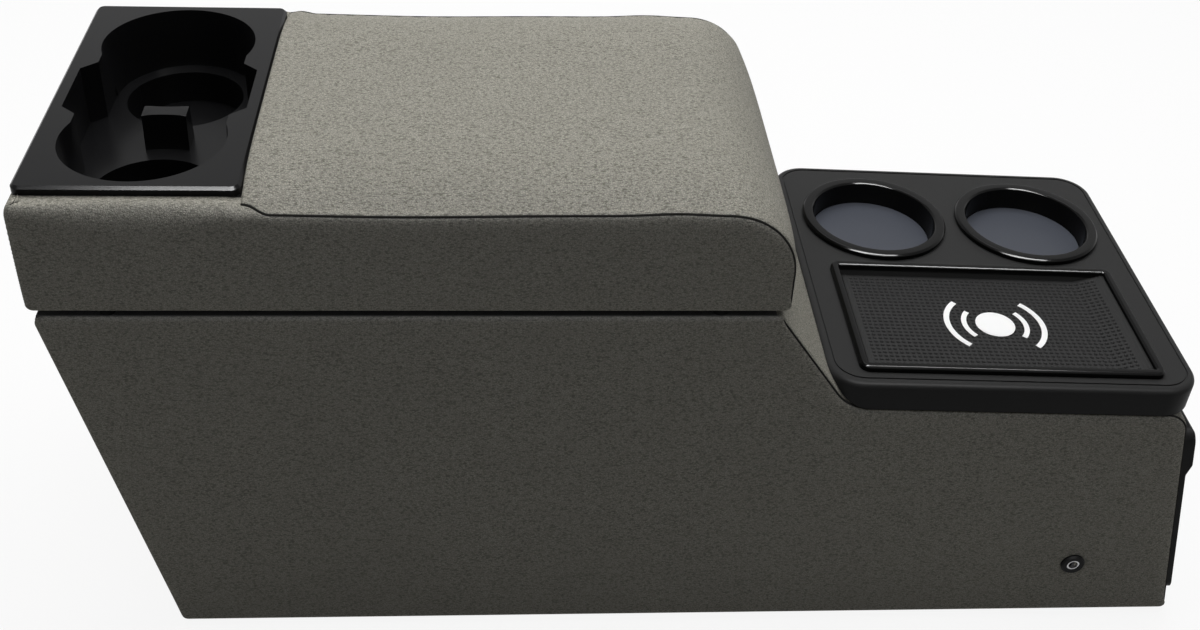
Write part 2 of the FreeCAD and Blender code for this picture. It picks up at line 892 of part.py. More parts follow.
def lid_shell(inset):
    """Rear block of the lid, under the insert: square plan, rolled long edges."""
    x0 = lid_rear_x + inset
    x1 = pad_rear_x
    half = half_width - inset
    top = insert_seat_z - inset
    corner = lid_rear_corner - inset
    roll = lid_roll - inset
    plan = [(x0, -half, corner), (x1, -half, 0), (x1, half, 0), (x0, half, corner)]
    end = [(-half, lid_bottom, 0), (half, lid_bottom, 0), (half, top, roll), (-half, top, roll)]
    return plan_slab(plan, lid_bottom, top).common(end_slab(end, x0, x1))


def armrest_outline(grow):
    """Side outline of the armrest ahead of the insert, with its round nose, grown outwards. The
    nose gets rounder as it grows, and grows more upwards than forwards."""
    swell = nose_swell * grow if grow > 0 else grow
    front = lid_front_x + (nose_push * grow if grow > 0 else grow)
    return [
        (pad_rear_x, lid_bottom, 0),
        (front, lid_bottom, nose_foot_round + min(grow, 0)),
        (front, lid_seam_z + grow, nose_radius + swell),
        (pad_rear_x, lid_seam_z + grow, 0),
    ]


def armrest_inside():
    """Space inside the armrest's covers."""
    return side_slab(armrest_outline(-cover), -inner_half, inner_half)


def lid_layer(shape, z0, z1):
    """Part of a lid shape between two heights."""
    reach = lid_front_x + OVERRUN
    return shape.common(block(lid_rear_x - OVERRUN, reach, -body_width, body_width, z0, z1))


def lid_base_board():
    """Board along the lid's underside, with the hinge channel and screw holes."""
    top = lid_bottom + lid_board
    rear = lid_layer(lid_shell(cover), lid_bottom, top)
    front = lid_layer(armrest_inside(), lid_bottom, top)
    deck = rear.fuse(front).removeSplitter().cut(knuckle_channel())
    for screw in hinge_screws(1, hole_gap / 3):
        deck = deck.cut(screw)
    return deck


def insert_pocket():
    """Pocket for the cup insert's tub, open at the top."""
    grow = insert_wall + insert_pocket_gap
    return insert_opening(grow, lid_bottom + lid_board, insert_top_z)


def insert_opening(grow, z0, z1):
    """Insert's mouth outline, grown outwards: two rounds joined by a notched middle."""
    rounds = []
    for side in (-1, 1):
        place = vec(insert_mid_x, side * well_offset, z0)
        rounds.append(Part.makeCylinder(well_mouth_radius + grow, z1 - z0, place))
    middle = plan_slab(notch_corners(grow), z0, z1)
    return rounds[0].fuse([rounds[1], middle]).removeSplitter()


def notch_corners(grow):
    """Straight channel that joins the insert's wells, with a finger notch at each end of it."""
    a = notch_half_length + grow
    b = notch_half_width + grow / 2
    c = notch_shoulder_length + grow
    d = notch_shoulder_width + grow
    quarter = ((a, b), (c, d), (c, well_offset))
    upper = list(quarter) + [(-x, y) for x, y in reversed(quarter)]
    lower = [(-x, -y) for x, y in upper]
    return [(insert_mid_x + x, y, 0) for x, y in upper + lower]


def insert_frame():
    """Frame in the lid's rear that carries the cup insert."""
    top = insert_seat_z - cover
    walls = lid_layer(lid_shell(cover), lid_bottom + lid_board, top)
    return walls.cut(insert_pocket())


def armrest_core():
    """Firm foam core of the armrest, on the lid's board."""
    return lid_layer(armrest_inside(), lid_bottom + lid_board, lid_seam_z)


def lid_band_cover():
    """Leatherette band round the lid: both sides, the rear, and the roll under the insert."""
    band = lid_shell(0).cut(lid_shell(cover))
    for side in (-1, 1):
        y0, y1 = sorted((side * inner_half, side * half_width))
        flank = side_slab(armrest_outline(0), y0, y1)
        band = band.fuse(flank)
    return band.removeSplitter().cut(insert_pocket()).cut(knuckle_channel())


def armrest_top_pad():
    """Crowned, padded leatherette over the armrest's top and down its round nose, tucked in just
    above the lid's underside. The crown is flat along the middle and falls to the side seams as
    a power of the distance across."""
    shares = (0.45, 0.74, 0.88, 0.96, 1.0)
    wires = []
    for share in [-v for v in reversed(shares)] + [0.0] + list(shares):
        grow = pad_crown * (1 - abs(share)**pad_crown_power)
        y = share * inner_half
        wires.append(outline(armrest_outline(grow), lambda p, y=y: vec(p.x, y, p.y)))
    pad = Part.makeLoft(wires, True, True).cut(armrest_inside())
    return lid_layer(pad, lid_bottom + pad_tuck, insert_top_z + OVERRUN)


def cup_insert():
    """Moulded twin cup insert: plate, two tapering wells with stepped floors, finger notches
    and a scooped divider between the wells, all one wall thickness."""
    ledge_z = insert_top_z - well_ledge_depth
    low = ledge_z - well_floor_depth
    plate = plan_slab(
        rectangle(insert_length, insert_width, insert_corner, insert_mid_x),
        insert_seat_z,
        insert_top_z,
    )
    plate = plate.makeChamfer(insert_edge_bevel, edges_where(plate, on_level(insert_top_z)))
    tub = plate.fuse(insert_room(insert_wall, ledge_z - insert_wall, low - insert_wall))
    room = insert_room(0, ledge_z, low)
    return tub.cut(room).fuse(insert_divider(ledge_z)).removeSplitter()


def insert_room(grow, ledge_z, low):
    """Room of the insert, or its outside when grown by the wall: tapering wells to the ledge,
    the notched middle between them, and a deeper round hole in each well's floor."""
    pieces = []
    for side in (-1, 1):
        place = vec(insert_mid_x, side * well_offset, ledge_z)
        rise = insert_top_z - ledge_z
        pieces.append(
            Part.makeCone(well_ledge_radius + grow, well_mouth_radius + grow, rise, place)
        )
        base = vec(insert_mid_x, side * (well_offset - well_floor_shift), low)
        pieces.append(Part.makeCylinder(well_floor_radius + grow, ledge_z - low, base))
    pieces.append(plan_slab(notch_corners(grow), ledge_z, insert_top_z))
    return pieces[0].fuse(pieces[1:]).removeSplitter()


def insert_divider(ledge_z):
    """Post between the wells, wider at its foot, with a shallow scoop down each broad side."""
    top_z = insert_top_z - divider_drop
    foot = divider_foot_width / 2
    head = divider_top_width / 2
    corners = [
        (-foot, ledge_z, 0),
        (foot, ledge_z, 0),
        (head, top_z, divider_edge_round),
        (-head, top_z, divider_edge_round),
    ]
    half = divider_length / 2
    post = end_slab(corners, insert_mid_x - half, insert_mid_x + half)
    sag = divider_scoop_radius - math.sqrt(divider_scoop_radius**2 - half**2)
    for side in (-1, 1):
        away = head - sag + divider_scoop_radius
        lean = foot - head
        high = vec(insert_mid_x, side * away, top_z)
        deep = vec(insert_mid_x, side * (away + lean), ledge_z)
        post = post.cut(rod(divider_scoop_radius, deep, high + (high - deep)))
    return post


def hinge_knuckle(index):
    """Ends of one hinge knuckle along Y."""
    pitch = hinge_length / hinge_knuckles
    start = -hinge_length / 2 + pitch * index
    return start + knuckle_gap / 2, start + pitch - knuckle_gap / 2


def hinge_leaf(level):
    """One leaf with its knuckles: level -1 lies on the rear rim, level 1 under the lid."""
    if level < 0:
        z0 = rim_height
    else:
        z0 = lid_bottom - leaf_thickness
    half = hinge_length / 2
    leaf = block(hinge_x, hinge_x + leaf_width, -half, half, z0, z0 + leaf_thickness)
    gap = pin_grip_gap if level < 0 else pin_running_gap
    rings = []
    for index in range(hinge_knuckles):
        y0, y1 = hinge_knuckle(index)
        mine = (index % 2 == 0) == (level < 0)
        if mine:
            rings.append(rod(knuckle_radius, vec(hinge_x, y0, hinge_z), vec(hinge_x, y1, hinge_z)))
        else:
            clear_from = vec(hinge_x, y0 - knuckle_gap, hinge_z)
            clear_to = vec(hinge_x, y1 + knuckle_gap, hinge_z)
            leaf = leaf.cut(rod(knuckle_groove, clear_from, clear_to))
    leaf = leaf.fuse(rings).removeSplitter()
    leaf = leaf.cut(
        rod(hinge_pin_radius + gap, vec(hinge_x, -half, hinge_z), vec(hinge_x, half, hinge_z))
    )
    for screw in hinge_screws(level, hole_gap / 3):
        leaf = leaf.cut(screw)
    return leaf


def hinge_pin():
    """Steel pin through the hinge's knuckles."""
    half = hinge_length / 2
    return rod(hinge_pin_radius, vec(hinge_x, -half, hinge_z), vec(hinge_x, half, hinge_z))


def hinge_screws(level, gap=0.0):
    """Countersunk screws of one leaf, or their holes when a gap is given."""
    x = hinge_x + (knuckle_groove + leaf_width) / 2
    face = rim_height + leaf_thickness if level < 0 else lid_bottom - leaf_thickness
    screws = []
    for y in hinge_fixings():
        tip = vec(x, y, face + level * (wood_screw_length + leaf_thickness + gap))
        shank = rod(wood_screw_radius + gap, vec(x, y, face), tip)
        head = Part.makeCone(
            wood_screw_head_radius + gap,
            wood_screw_radius + gap,
            wood_screw_head,
            vec(x, y, face),
            vec(0, 0, level),
        )
        screws.append(shank.fuse(head).removeSplitter())
    return screws


def rim_buffers():
    """Rubber buffers on the side panels' top edges that the lid comes down on."""
    height = lid_gap - buffer_gap
    middle = (bay_half + inner_half) / 2
    discs = []
    for x in (buffer_rear_x, buffer_front_x):
        for side in (-1, 1):
            discs.append(Part.makeCylinder(buffer_radius, height, vec(x, side * middle, rim_height)))
    return Part.makeCompound(discs)


def assembly():
    """Every piece by name."""
    rear_cup, front_cup = cup_places()
    return {
        "base_pad": base_pad(),
        "base_board": base_board(),
        "right_side_panel": side_panel(-1).cut(jack_hole()),
        "left_side_panel": side_panel(1),
        "rear_panel": rear_panel(),
        "riser_panel": riser_panel(),
        "shelf_panel": shelf_panel(),
        "front_panel": front_panel(),
        "right_side_cover": side_cover(-1).cut(jack_hole()),
        "left_side_cover": side_cover(1),
        "rear_cover": rear_cover(),
        "front_wrap_cover": front_wrap_cover(),
        "tray_body": tray_body(),
        "tray_screws": tray_screws(),
        "rear_tray_cup": cup_holder(rear_cup),
        "front_tray_cup": cup_holder(front_cup),
        "rear_cup_mat": cup_mat_disc(rear_cup),
        "front_cup_mat": cup_mat_disc(front_cup),
        "charger_frame": charger_frame(),
        "charger_mat": charger_mat(),
        "charger_housing": charger_housing(),
        "charging_coil": charging_coil(),
        "ferrite_plate": ferrite_plate(),
        "circuit_board": circuit_board(),
        "charger_lead": charger_lead(),
        "jack_body": jack_body(),
        "jack_sleeve": jack_sleeve(),
        "jack_pin": jack_pin(),
        "jack_nut": jack_nut_ring(),
        "access_panel": access_panel(),
        "access_panel_screws": access_panel_screws(),
        "rim_buffers": rim_buffers(),
        "hinge_body_leaf": hinge_leaf(-1),
        "hinge_pin": hinge_pin(),
        "hinge_body_screws": Part.makeCompound(hinge_screws(-1)),
        "lid_base_board": lid_base_board(),
        "insert_frame": insert_frame(),
        "armrest_core": armrest_core(),
        "lid_band_cover": lid_band_cover(),
        "armrest_top_pad": armrest_top_pad(),
        "cup_insert": cup_insert(),
        "hinge_lid_leaf": hinge_leaf(1),
        "hinge_lid_screws": Part.makeCompound(hinge_screws(1)),
    }


os.makedirs("parts", exist_ok=True)
for name, shape in assembly().items():
    shape.exportStep("parts/" + name + ".step")
    print(name, "valid" if shape.isValid() else "INVALID", len(shape.Solids), round(shape.Volume))
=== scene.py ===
"""Looks of a vehicle centre console organizer: a leatherette box with a padded, hinged armrest lid, a
twin cup insert in the lid, and a front tray with two cup rings and a phone charging pad.

Lengths below are millimetres and become metres where a mesh is made. X runs from the rear to the
front, Z up, and the right side that the photograph shows faces -Y.
"""
import math

import bpy
import numpy as np
from mathutils import Matrix


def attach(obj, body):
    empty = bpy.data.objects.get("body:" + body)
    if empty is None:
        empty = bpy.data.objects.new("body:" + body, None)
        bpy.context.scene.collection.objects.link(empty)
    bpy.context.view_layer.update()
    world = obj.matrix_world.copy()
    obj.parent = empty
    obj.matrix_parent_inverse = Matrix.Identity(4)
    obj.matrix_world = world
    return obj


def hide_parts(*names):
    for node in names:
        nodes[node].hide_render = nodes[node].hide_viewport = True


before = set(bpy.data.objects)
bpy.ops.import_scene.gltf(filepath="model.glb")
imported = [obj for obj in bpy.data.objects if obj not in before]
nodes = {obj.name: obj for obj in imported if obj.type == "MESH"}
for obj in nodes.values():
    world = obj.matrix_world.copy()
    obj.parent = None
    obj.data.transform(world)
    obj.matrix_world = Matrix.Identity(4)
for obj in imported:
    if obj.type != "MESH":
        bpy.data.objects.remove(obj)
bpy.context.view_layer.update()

MM = 0.001

# Console body: its side outline in X and Z, and the radii of the outline's corners
HALF_WIDTH = 120.0
FOOT_Z = 4.0
RIM_Z = 240.0
REAR_FOOT = (-289.0, FOOT_Z)
REAR_RIM = (-339.5, RIM_Z)
RISER_RIM = (64.0, RIM_Z)
RISER_FOOT = (110.0, 175.27)
SHOULDER = (313.5, 168.09)
FRONT_FOOT = (342.5, FOOT_Z)
FOOT_ROUND = 4.0
SHOULDER_ROUND = 16.0
RISER_ROUND = 25.0
RIM_ROUND = 5.0
JACK_PLACE = (270.0, 47.0)

# Lid: its side outline, its armrest, and the covered block beside the cup insert
LID_Z = 244.0
LID_REAR = -342.5
LID_FRONT = 68.6
LID_SEAM_Z = 306.0
LID_CORNER = 6.0
NOSE_RADIUS = 38.0
NOSE_FOOT_ROUND = 5.0
PAD_REAR = -223.7
PAD_CROWN = 10.5
NOSE_SWELL = 2.1  # what the nose's radius gains for each millimetre of crown
NOSE_PUSH = 0.5  # what the nose's front gains for each millimetre of crown
BLOCK_TOP_Z = 308.8
BLOCK_ROLL = 8.0
BLOCK_REACH = 15.0
BLOCK_TUCK = 14.0  # how deep the block's edge goes down beside the insert
REAR_TUCK = 7.2  # how much less it goes down behind the insert

# Upholstery: edges that roll into the seams, the grooves between them and the dark thread in a seam,
# which is painted shade for the groove
SHEET = 0.9
PAD_SHEET = 2.0
EDGE_REACH = 8.0
EDGE_DROP = 1.8
FACING_TURNS = np.radians([0, 10, 20, 30, 40, 50, 60, 69, 77, 84, 90])
GROOVE = 1.6
PILLOW = 0.5
PILLOW_REACH = 9.0
SEAM_Y = HALF_WIDTH - EDGE_DROP - PILLOW
SEAM_DEPTH = 1.8
STRIP_HALF = SEAM_Y - 0.6
STRIP_REACH = 3.0
STRIP_DROP = 1.6
STRIP_SKIRT = 2.6
STRIP_TURNS = np.radians([0, 15, 30, 45, 60, 75, 90, 90])  # the last one is the skirt's
THREAD_Y = SEAM_Y - 0.3
THREAD_DEPTH = 1.3
THREAD_RADIUS = 0.7
HANDS = (("right", -1), ("left", 1))  # the names of the two sides and their signs of Y

# Front tray, in its own tilted frame
TRAY_ORIGIN = (206.6, 171.86)
TRAY_TILT = math.radians(2.02)
TRAY_TOP = 18.5
CUP_PLACES = {"rear": (-52.1, 52.9), "front": (51.1, 52.9)}
RIM_TOP = 22.5
PAD_PLACE = (-0.5, -54.6)
PAD_SIZE = (182.0, 108.0)
PAD_CORNER = 6.0
PAN_INSET = 5.0
PAN_UNDER = 11.4
PAN_FLOOR = 13.4
MAT_INSET = 5.3
MAT_FLAT = 15.0
RAMP_RUN, RAMP_RISE = 19.0, 5.0
DIMPLE_PITCH = 3.4
DIMPLE_DEPTH = 1.45
SIGN_PLACE = (2.9, -54.7)
INK = 0.22

# The photograph's camera, in pixels, millimetres and radians
FOCAL_PIXELS, FRAME_PIXELS = 1500.25, 1200.0
SENSOR = 36.0
EYE = (-88.31, -770.32, 726.99)
PITCH, YAW, ROLL = 0.63863, 0.07925, 0.047233

WHITE = (1.0, 1.0, 1.0, 1.0)


# Materials

def linear(code):
    """Linear RGBA of an sRGB hex colour."""
    parts = [int(code[i:i + 2], 16) / 255 for i in (1, 3, 5)]
    return [c / 12.92 if c <= 0.04045 else ((c + 0.055) / 1.055) ** 2.4 for c in parts] + [1.0]


def add(tree, kind, settings=None, values=None, links=None):
    """Add a node to a tree, with its properties, its constant inputs and the outputs it is fed by."""
    made = tree.nodes.new(kind)
    for name, value in (settings or {}).items():
        setattr(made, name, value)
    for name, value in (values or {}).items():
        made.inputs[name].default_value = value
    for name, source in (links or {}).items():
        tree.links.new(source, made.inputs[name])
    return made


def new_material(name):
    """An empty node material with its shader, and the object's coordinates in metres."""
    material = bpy.data.materials.new(name)
    material.use_nodes = True
    tree = material.node_tree
    tree.nodes.clear()
    shader = add(tree, "ShaderNodeBsdfPrincipled")
    add(tree, "ShaderNodeOutputMaterial", links={"Surface": shader.outputs["BSDF"]})
    place = add(tree, "ShaderNodeTexCoord").outputs["Object"]
    return material, tree, shader, place


def moulded(name, colour, other, roughness, grain_mm, depth_mm, specular=0.5, metallic=0.0):
    """A material with a fine random grain: two colours mixed by noise, a bump of the same grain and
    a roughness that wanders with a larger noise."""
    material, tree, shader, place = new_material(name)
    grain = add(tree, "ShaderNodeTexNoise", values={"Scale": 1 / (grain_mm * MM), "Detail": 3.0},
                links={"Vector": place})
    broad = add(tree, "ShaderNodeTexNoise", values={"Scale": 22.0, "Detail": 2.0},
                links={"Vector": place})
    mix = add(tree, "ShaderNodeMix", {"data_type": "RGBA"},
              {"A": linear(colour), "B": linear(other)}, {"Factor": grain.outputs["Fac"]})
    rough = add(tree, "ShaderNodeMapRange",
                values={"To Min": roughness * 0.85, "To Max": min(1.0, roughness * 1.15)},
                links={"Value": broad.outputs["Fac"]})
    bump = add(tree, "ShaderNodeBump", values={"Strength": 1.0, "Distance": depth_mm * MM},
               links={"Height": grain.outputs["Fac"]})
    tree.links.new(mix.outputs["Result"], shader.inputs["Base Color"])
    tree.links.new(rough.outputs["Result"], shader.inputs["Roughness"])
    tree.links.new(bump.outputs["Normal"], shader.inputs["Normal"])
    shader.inputs["Specular IOR Level"].default_value = specular
    shader.inputs["Metallic"].default_value = metallic
    return material


def leather():
    """Grey PVC leatherette: pebbles about 1.2 mm wide with darker creases between them, short dark
    flecks about 2 by 0.9 mm where the creases run together, and a slow change of tone, so that it
    reads as embossed cloth-backed vinyl and not as paint. The creases and flecks are the bump's sunk
    parts, and their darker colours are painted shade."""
    material, tree, shader, place = new_material("grey_pvc_leatherette")
    wander = add(tree, "ShaderNodeTexNoise", values={"Scale": 520.0, "Detail": 2.0},
                 links={"Vector": place})
    shift = add(tree, "ShaderNodeVectorMath", {"operation": "MULTIPLY_ADD"},
                {1: (0.0012, 0.0012, 0.0012)}, {0: wander.outputs["Color"], 2: place})
    pebbles = add(tree, "ShaderNodeTexVoronoi", {"feature": "DISTANCE_TO_EDGE"},
                  {"Scale": 820.0, "Randomness": 1.0}, {"Vector": shift.outputs["Vector"]})
    rise = add(tree, "ShaderNodeMapRange", {"interpolation_type": "SMOOTHSTEP"},
               {"From Min": 0.0, "From Max": 0.26}, {"Value": pebbles.outputs["Distance"]})
    stretched = add(tree, "ShaderNodeMapping", values={"Scale": (500.0, 1100.0, 1100.0)},
                    links={"Vector": shift.outputs["Vector"]})
    flecks = add(tree, "ShaderNodeTexNoise", values={"Scale": 1.0, "Detail": 3.0, "Roughness": 0.6},
                 links={"Vector": stretched.outputs["Vector"]})
    plain = add(tree, "ShaderNodeMapRange", {"interpolation_type": "SMOOTHSTEP"},
                {"From Min": 0.36, "From Max": 0.52}, {"Value": flecks.outputs["Fac"]})
    broad = add(tree, "ShaderNodeTexNoise", values={"Scale": 14.0, "Detail": 3.0},
                links={"Vector": place})
    height = add(tree, "ShaderNodeMath", {"operation": "MULTIPLY_ADD"}, {1: 0.8},
                 {0: plain.outputs["Result"], 2: rise.outputs["Result"]})
    tone = add(tree, "ShaderNodeMix", {"data_type": "RGBA"},
               {"A": linear("#9E9B8F"), "B": linear("#ADAA9E")}, {"Factor": broad.outputs["Fac"]})
    # Painted shade: the creases and the flecks, the low parts of the bump, get darker colours.
    crease_shade = add(tree, "ShaderNodeMix", {"data_type": "RGBA"}, {"A": linear("#84827A")},
                 {"Factor": rise.outputs["Result"], "B": tone.outputs["Result"]})
    fleck_shade = add(tree, "ShaderNodeMix", {"data_type": "RGBA"}, {"A": linear("#68665D")},
                {"Factor": plain.outputs["Result"], "B": crease_shade.outputs["Result"]})
    rough = add(tree, "ShaderNodeMapRange", values={"To Min": 0.74, "To Max": 0.6},
                links={"Value": rise.outputs["Result"]})
    bump = add(tree, "ShaderNodeBump", values={"Strength": 0.5, "Distance": 0.0002},
               links={"Height": height.outputs["Value"]})
    tree.links.new(fleck_shade.outputs["Result"], shader.inputs["Base Color"])
    tree.links.new(rough.outputs["Result"], shader.inputs["Roughness"])
    tree.links.new(bump.outputs["Normal"], shader.inputs["Normal"])
    shader.inputs["Specular IOR Level"].default_value = 0.1
    return material


def felt(name, colour, other):
    """Pressed felt lining: short fibres in three directions and a soft sheen at a grazing angle."""
    material, tree, shader, place = new_material(name)
    stretched = add(tree, "ShaderNodeMapping", values={"Scale": (900.0, 2600.0, 1500.0)},
                    links={"Vector": place})
    fibres = add(tree, "ShaderNodeTexNoise", values={"Scale": 1.0, "Detail": 5.0, "Roughness": 0.7},
                 links={"Vector": stretched.outputs["Vector"]})
    mix = add(tree, "ShaderNodeMix", {"data_type": "RGBA"},
              {"A": linear(colour), "B": linear(other)}, {"Factor": fibres.outputs["Fac"]})
    bump = add(tree, "ShaderNodeBump", values={"Strength": 0.8, "Distance": 0.0004},
               links={"Height": fibres.outputs["Fac"]})
    tree.links.new(mix.outputs["Result"], shader.inputs["Base Color"])
    tree.links.new(bump.outputs["Normal"], shader.inputs["Normal"])
    shader.inputs["Roughness"].default_value = 0.95
    shader.inputs["Specular IOR Level"].default_value = 0.1
    shader.inputs["Sheen Weight"].default_value = 0.3
    return material


def painted_hollow_shade(material, reach_mm, colour):
    """Painted shade: lead a material's colour over to a darker one in hollows narrower than reach_mm,
    found by ambient occlusion, so that dimples in black rubber look as if they swallow light."""
    tree = material.node_tree
    colour_in = tree.nodes["Principled BSDF"].inputs["Base Color"]
    openness = add(tree, "ShaderNodeAmbientOcclusion", {"samples": 8}, {"Distance": reach_mm * MM})
    share = add(tree, "ShaderNodeMapRange", values={"From Min": 0.58, "From Max": 0.98},
                links={"Value": openness.outputs["AO"]})
    mix = add(tree, "ShaderNodeMix", {"data_type": "RGBA"}, {"A": linear(colour)},
              {"Factor": share.outputs["Result"], "B": colour_in.links[0].from_socket})
    tree.links.new(mix.outputs["Result"], colour_in)
    return material


LEATHER = leather()
# Dark bonded thread sunk in the seams: its near black is painted shade for the seam's groove, and its
# twist keeps the line from looking drawn.
SEAM_SHADE_THREAD = moulded("dark_thread_as_seam_shade", "#0B0A08", "#191814", 0.8, 0.5, 0.15, 0.05)
# ABS with a fine spark-eroded grain: a satin black that turns grey under the lamp.
TRAY = moulded("satin_abs_plastic", "#303030", "#363636", 0.42, 0.35, 0.02, 0.025)
# Polished ABS: the glossiest plastic, it shows its edges by thin highlights.
GLOSS = moulded("gloss_abs_plastic", "#0C0C0C", "#101010", 0.14, 4.0, 0.004, 0.08)
# Polypropylene with a light texture: near black, with sharper reflections than the tray.
INSERT = moulded("moulded_polypropylene", "#0E0E0F", "#141415", 0.25, 0.5, 0.01, 0.08)
# Silicone rubber: dull black with a faint bloom, and painted shade that darkens its dimples.
MAT = painted_hollow_shade(moulded("silicone_rubber", "#2C2C2C", "#343434", 0.55, 0.6, 0.02, 0.05),
                   2.4, "#030303")
# Blue-grey thermoplastic elastomer in the cups' floors, smoother than the mat.
CUP_MAT = moulded("elastomer_cup_mat", "#42454D", "#484B53", 0.4, 0.8, 0.015, 0.1)
# Screen-printed white ink.
PRINT = moulded("white_screen_ink", "#FAFAFA", "#FFFFFF", 0.5, 0.7, 0.01, 0.4)
# Lined plywood: dark felt bonded to the boards inside the box.
LINING = felt("felt_lined_plywood", "#232323", "#3A3A3A")
# Darker non-woven felt under the foot.
BASE = felt("non_woven_base_felt", "#141414", "#232323")
# Polyurethane foam: open cells in a cream block.
FOAM = moulded("polyurethane_foam", "#C9BE9A", "#E2D9BC", 0.95, 1.2, 0.5, 0.1)
# Zinc plated steel: bright with a cloudy finish.
STEEL = moulded("zinc_plated_steel", "#A9ABAD", "#BFC1C3", 0.32, 1.5, 0.01, 0.5, 1.0)
# Black oxide on steel screws.
SCREWS = moulded("black_oxide_steel", "#151516", "#222224", 0.38, 0.8, 0.015, 0.5, 0.6)
# Glass-filled nylon for the socket's bezel and nut.
NYLON = moulded("glass_filled_nylon", "#090909", "#0F0F0F", 0.35, 0.4, 0.015, 0.06)
# Nickel plate in the socket: a smooth metal with soft reflections.
NICKEL = moulded("nickel_plated_brass", "#98979A", "#A4A3A4", 0.25, 2.0, 0.003, 0.5, 1.0)
# The charging unit: wound wire, a dull dark ceramic, a green board and the lead's jacket.
COPPER = moulded("enamelled_copper_wire", "#A9592B", "#C0713C", 0.3, 0.7, 0.03, 0.5, 0.9)
FERRITE = moulded("sintered_ferrite", "#26272A", "#34363A", 0.6, 0.5, 0.02, 0.4)
CIRCUIT = moulded("solder_masked_fibreglass", "#0F4A2B", "#155A36", 0.35, 0.9, 0.02, 0.5)
JACKET = moulded("pvc_cable_jacket", "#121212", "#1C1C1C", 0.5, 0.6, 0.02, 0.4)
# Black rubber of the lid's buffers, duller than the mat.
BUFFER = moulded("rubber_buffer", "#070707", "#0C0C0C", 0.8, 0.5, 0.02, 0.05)


# Meshes

def add_piece(name, points, faces, material, body, toward=None):
    """A smooth mesh from points in millimetres, with its faces turned so that on the whole they look
    along toward, riding on a body."""
    points = np.asarray(points, float).reshape(-1, 3)
    if toward is not None:
        corners = np.array([face[:3] for face in faces])
        a, b, c = (points[corners[:, i]] for i in range(3))
        if (np.cross(b - a, c - a) * toward).sum() < 0:
            faces = [face[::-1] for face in faces]
    mesh = bpy.data.meshes.new(name)
    mesh.from_pydata((points * MM).tolist(), [], faces)
    mesh.shade_smooth()
    mesh.materials.append(material)
    obj = bpy.data.objects.new(name, mesh)
    bpy.context.scene.collection.objects.link(obj)
    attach(obj, body)
    return obj


def grid_faces(rows, columns, closed=False):
    """Quads of a grid stored row by row; closed joins the last column to the first."""
    r = np.arange(rows - 1)[:, None]
    c = np.arange(columns if closed else columns - 1)[None, :]
    d = (c + 1) % columns
    quads = np.stack([r * columns + c, r * columns + d, (r + 1) * columns + d,
                      (r + 1) * columns + c], -1)
    return quads.reshape(-1, 4).tolist()


def stack(name, loops, material, body):
    """A closed form from a stack of loops, each the same number of points, with a middle point added
    at each end."""
    loops = np.asarray(loops, float)
    rows, around = loops.shape[:2]
    points = np.concatenate([loops.reshape(-1, 3), loops[[0, -1]].mean(axis=1)])
    c = np.arange(around)
    d = np.roll(c, -1)
    first, last = rows * around, rows * around + 1
    end = (rows - 1) * around
    faces = grid_faces(rows, around, closed=True)
    faces += np.stack([np.full(around, first), d, c], 1).tolist()
    faces += np.stack([np.full(around, last), end + c, end + d], 1).tolist()
    tri = np.array([f[:3] for f in faces] + [[f[0], f[2], f[3]] for f in faces if len(f) == 4])
    one, two, three = (points[tri[:, i]] for i in range(3))
    if (one * np.cross(two, three)).sum() < 0:
        faces = [face[::-1] for face in faces]
    return add_piece(name, points, faces, material, body)


def thicken(obj, millimetres):
    """Give a sheet its real thickness, inwards from its outer face."""
    modifier = obj.modifiers.new("thickness", "SOLIDIFY")
    modifier.thickness = millimetres * MM
    modifier.offset = -1.0


def smooth_step(value, low, high):
    """0 below low, 1 above high, and an S-curve between."""
    t = np.clip((value - low) / (high - low), 0, 1)
    return t * t * (3 - 2 * t)


def bell(value, middle, reach):
    """1 at the middle, falling off to both sides as a bell curve."""
    return np.exp(-((value - middle) / reach) ** 2)


def rounded(corners, closed=False, arc_points=17):
    """Points along straight runs whose corners (a, b, radius) are arcs tangent to both runs, and the
    index of each corner's middle point."""
    spots = np.array([c[:2] for c in corners], float)
    count = len(corners)
    points, middles = [], []
    for i, here in enumerate(spots):
        radius = corners[i][2]
        if radius <= 0 or (not closed and i in (0, count - 1)):
            middles.append(len(points))
            points.append(here)
            continue
        before = spots[i - 1] - here
        after = spots[(i + 1) % count] - here
        before /= np.linalg.norm(before)
        after /= np.linalg.norm(after)
        half = math.acos(np.clip(before @ after, -1, 1)) / 2
        centre = here + (before + after) / np.linalg.norm(before + after) * radius / math.sin(half)
        start = here + before * radius / math.tan(half) - centre
        end = here + after * radius / math.tan(half) - centre
        sweep = math.pi - 2 * half
        t = np.linspace(0, 1, arc_points)[:, None]
        arc = (np.sin((1 - t) * sweep) * start + np.sin(t * sweep) * end) / math.sin(sweep)
        middles.append(len(points) + arc_points // 2)
        points.extend(centre + arc)
    return np.array(points), middles


def resample(points, count, tight=3.0, arc_step=6.0):
    """A line of points resampled to count points; steps shorter than arc_step, which are its arcs,
    count tight times their length, so that they get more of the points."""
    step = np.linalg.norm(np.diff(points, axis=0), axis=1)
    weight = step * np.where(step < arc_step, tight, 1.0)
    along = np.concatenate([[0.0], np.cumsum(weight)])
    want = np.linspace(0, along[-1], count)
    return np.stack([np.interp(want, along, points[:, k]) for k in range(points.shape[1])], 1)


def sides_to_loop(bottom, right, top, left):
    """Once round four side curves: bottom and top run one way, right and left from bottom to top."""
    return np.concatenate([bottom, right[1:], top[::-1][1:], left[::-1][1:-1]])


def loop_to_sides(loop, nu, nv):
    """The four side curves of a loop made by sides_to_loop."""
    bottom = loop[:nu]
    right = loop[nu - 1:nu + nv - 1]
    top = loop[nu + nv - 2:2 * nu + nv - 2][::-1]
    left = np.concatenate([loop[2 * nu + nv - 3:], loop[:1]])[::-1]
    return bottom, right, top, left


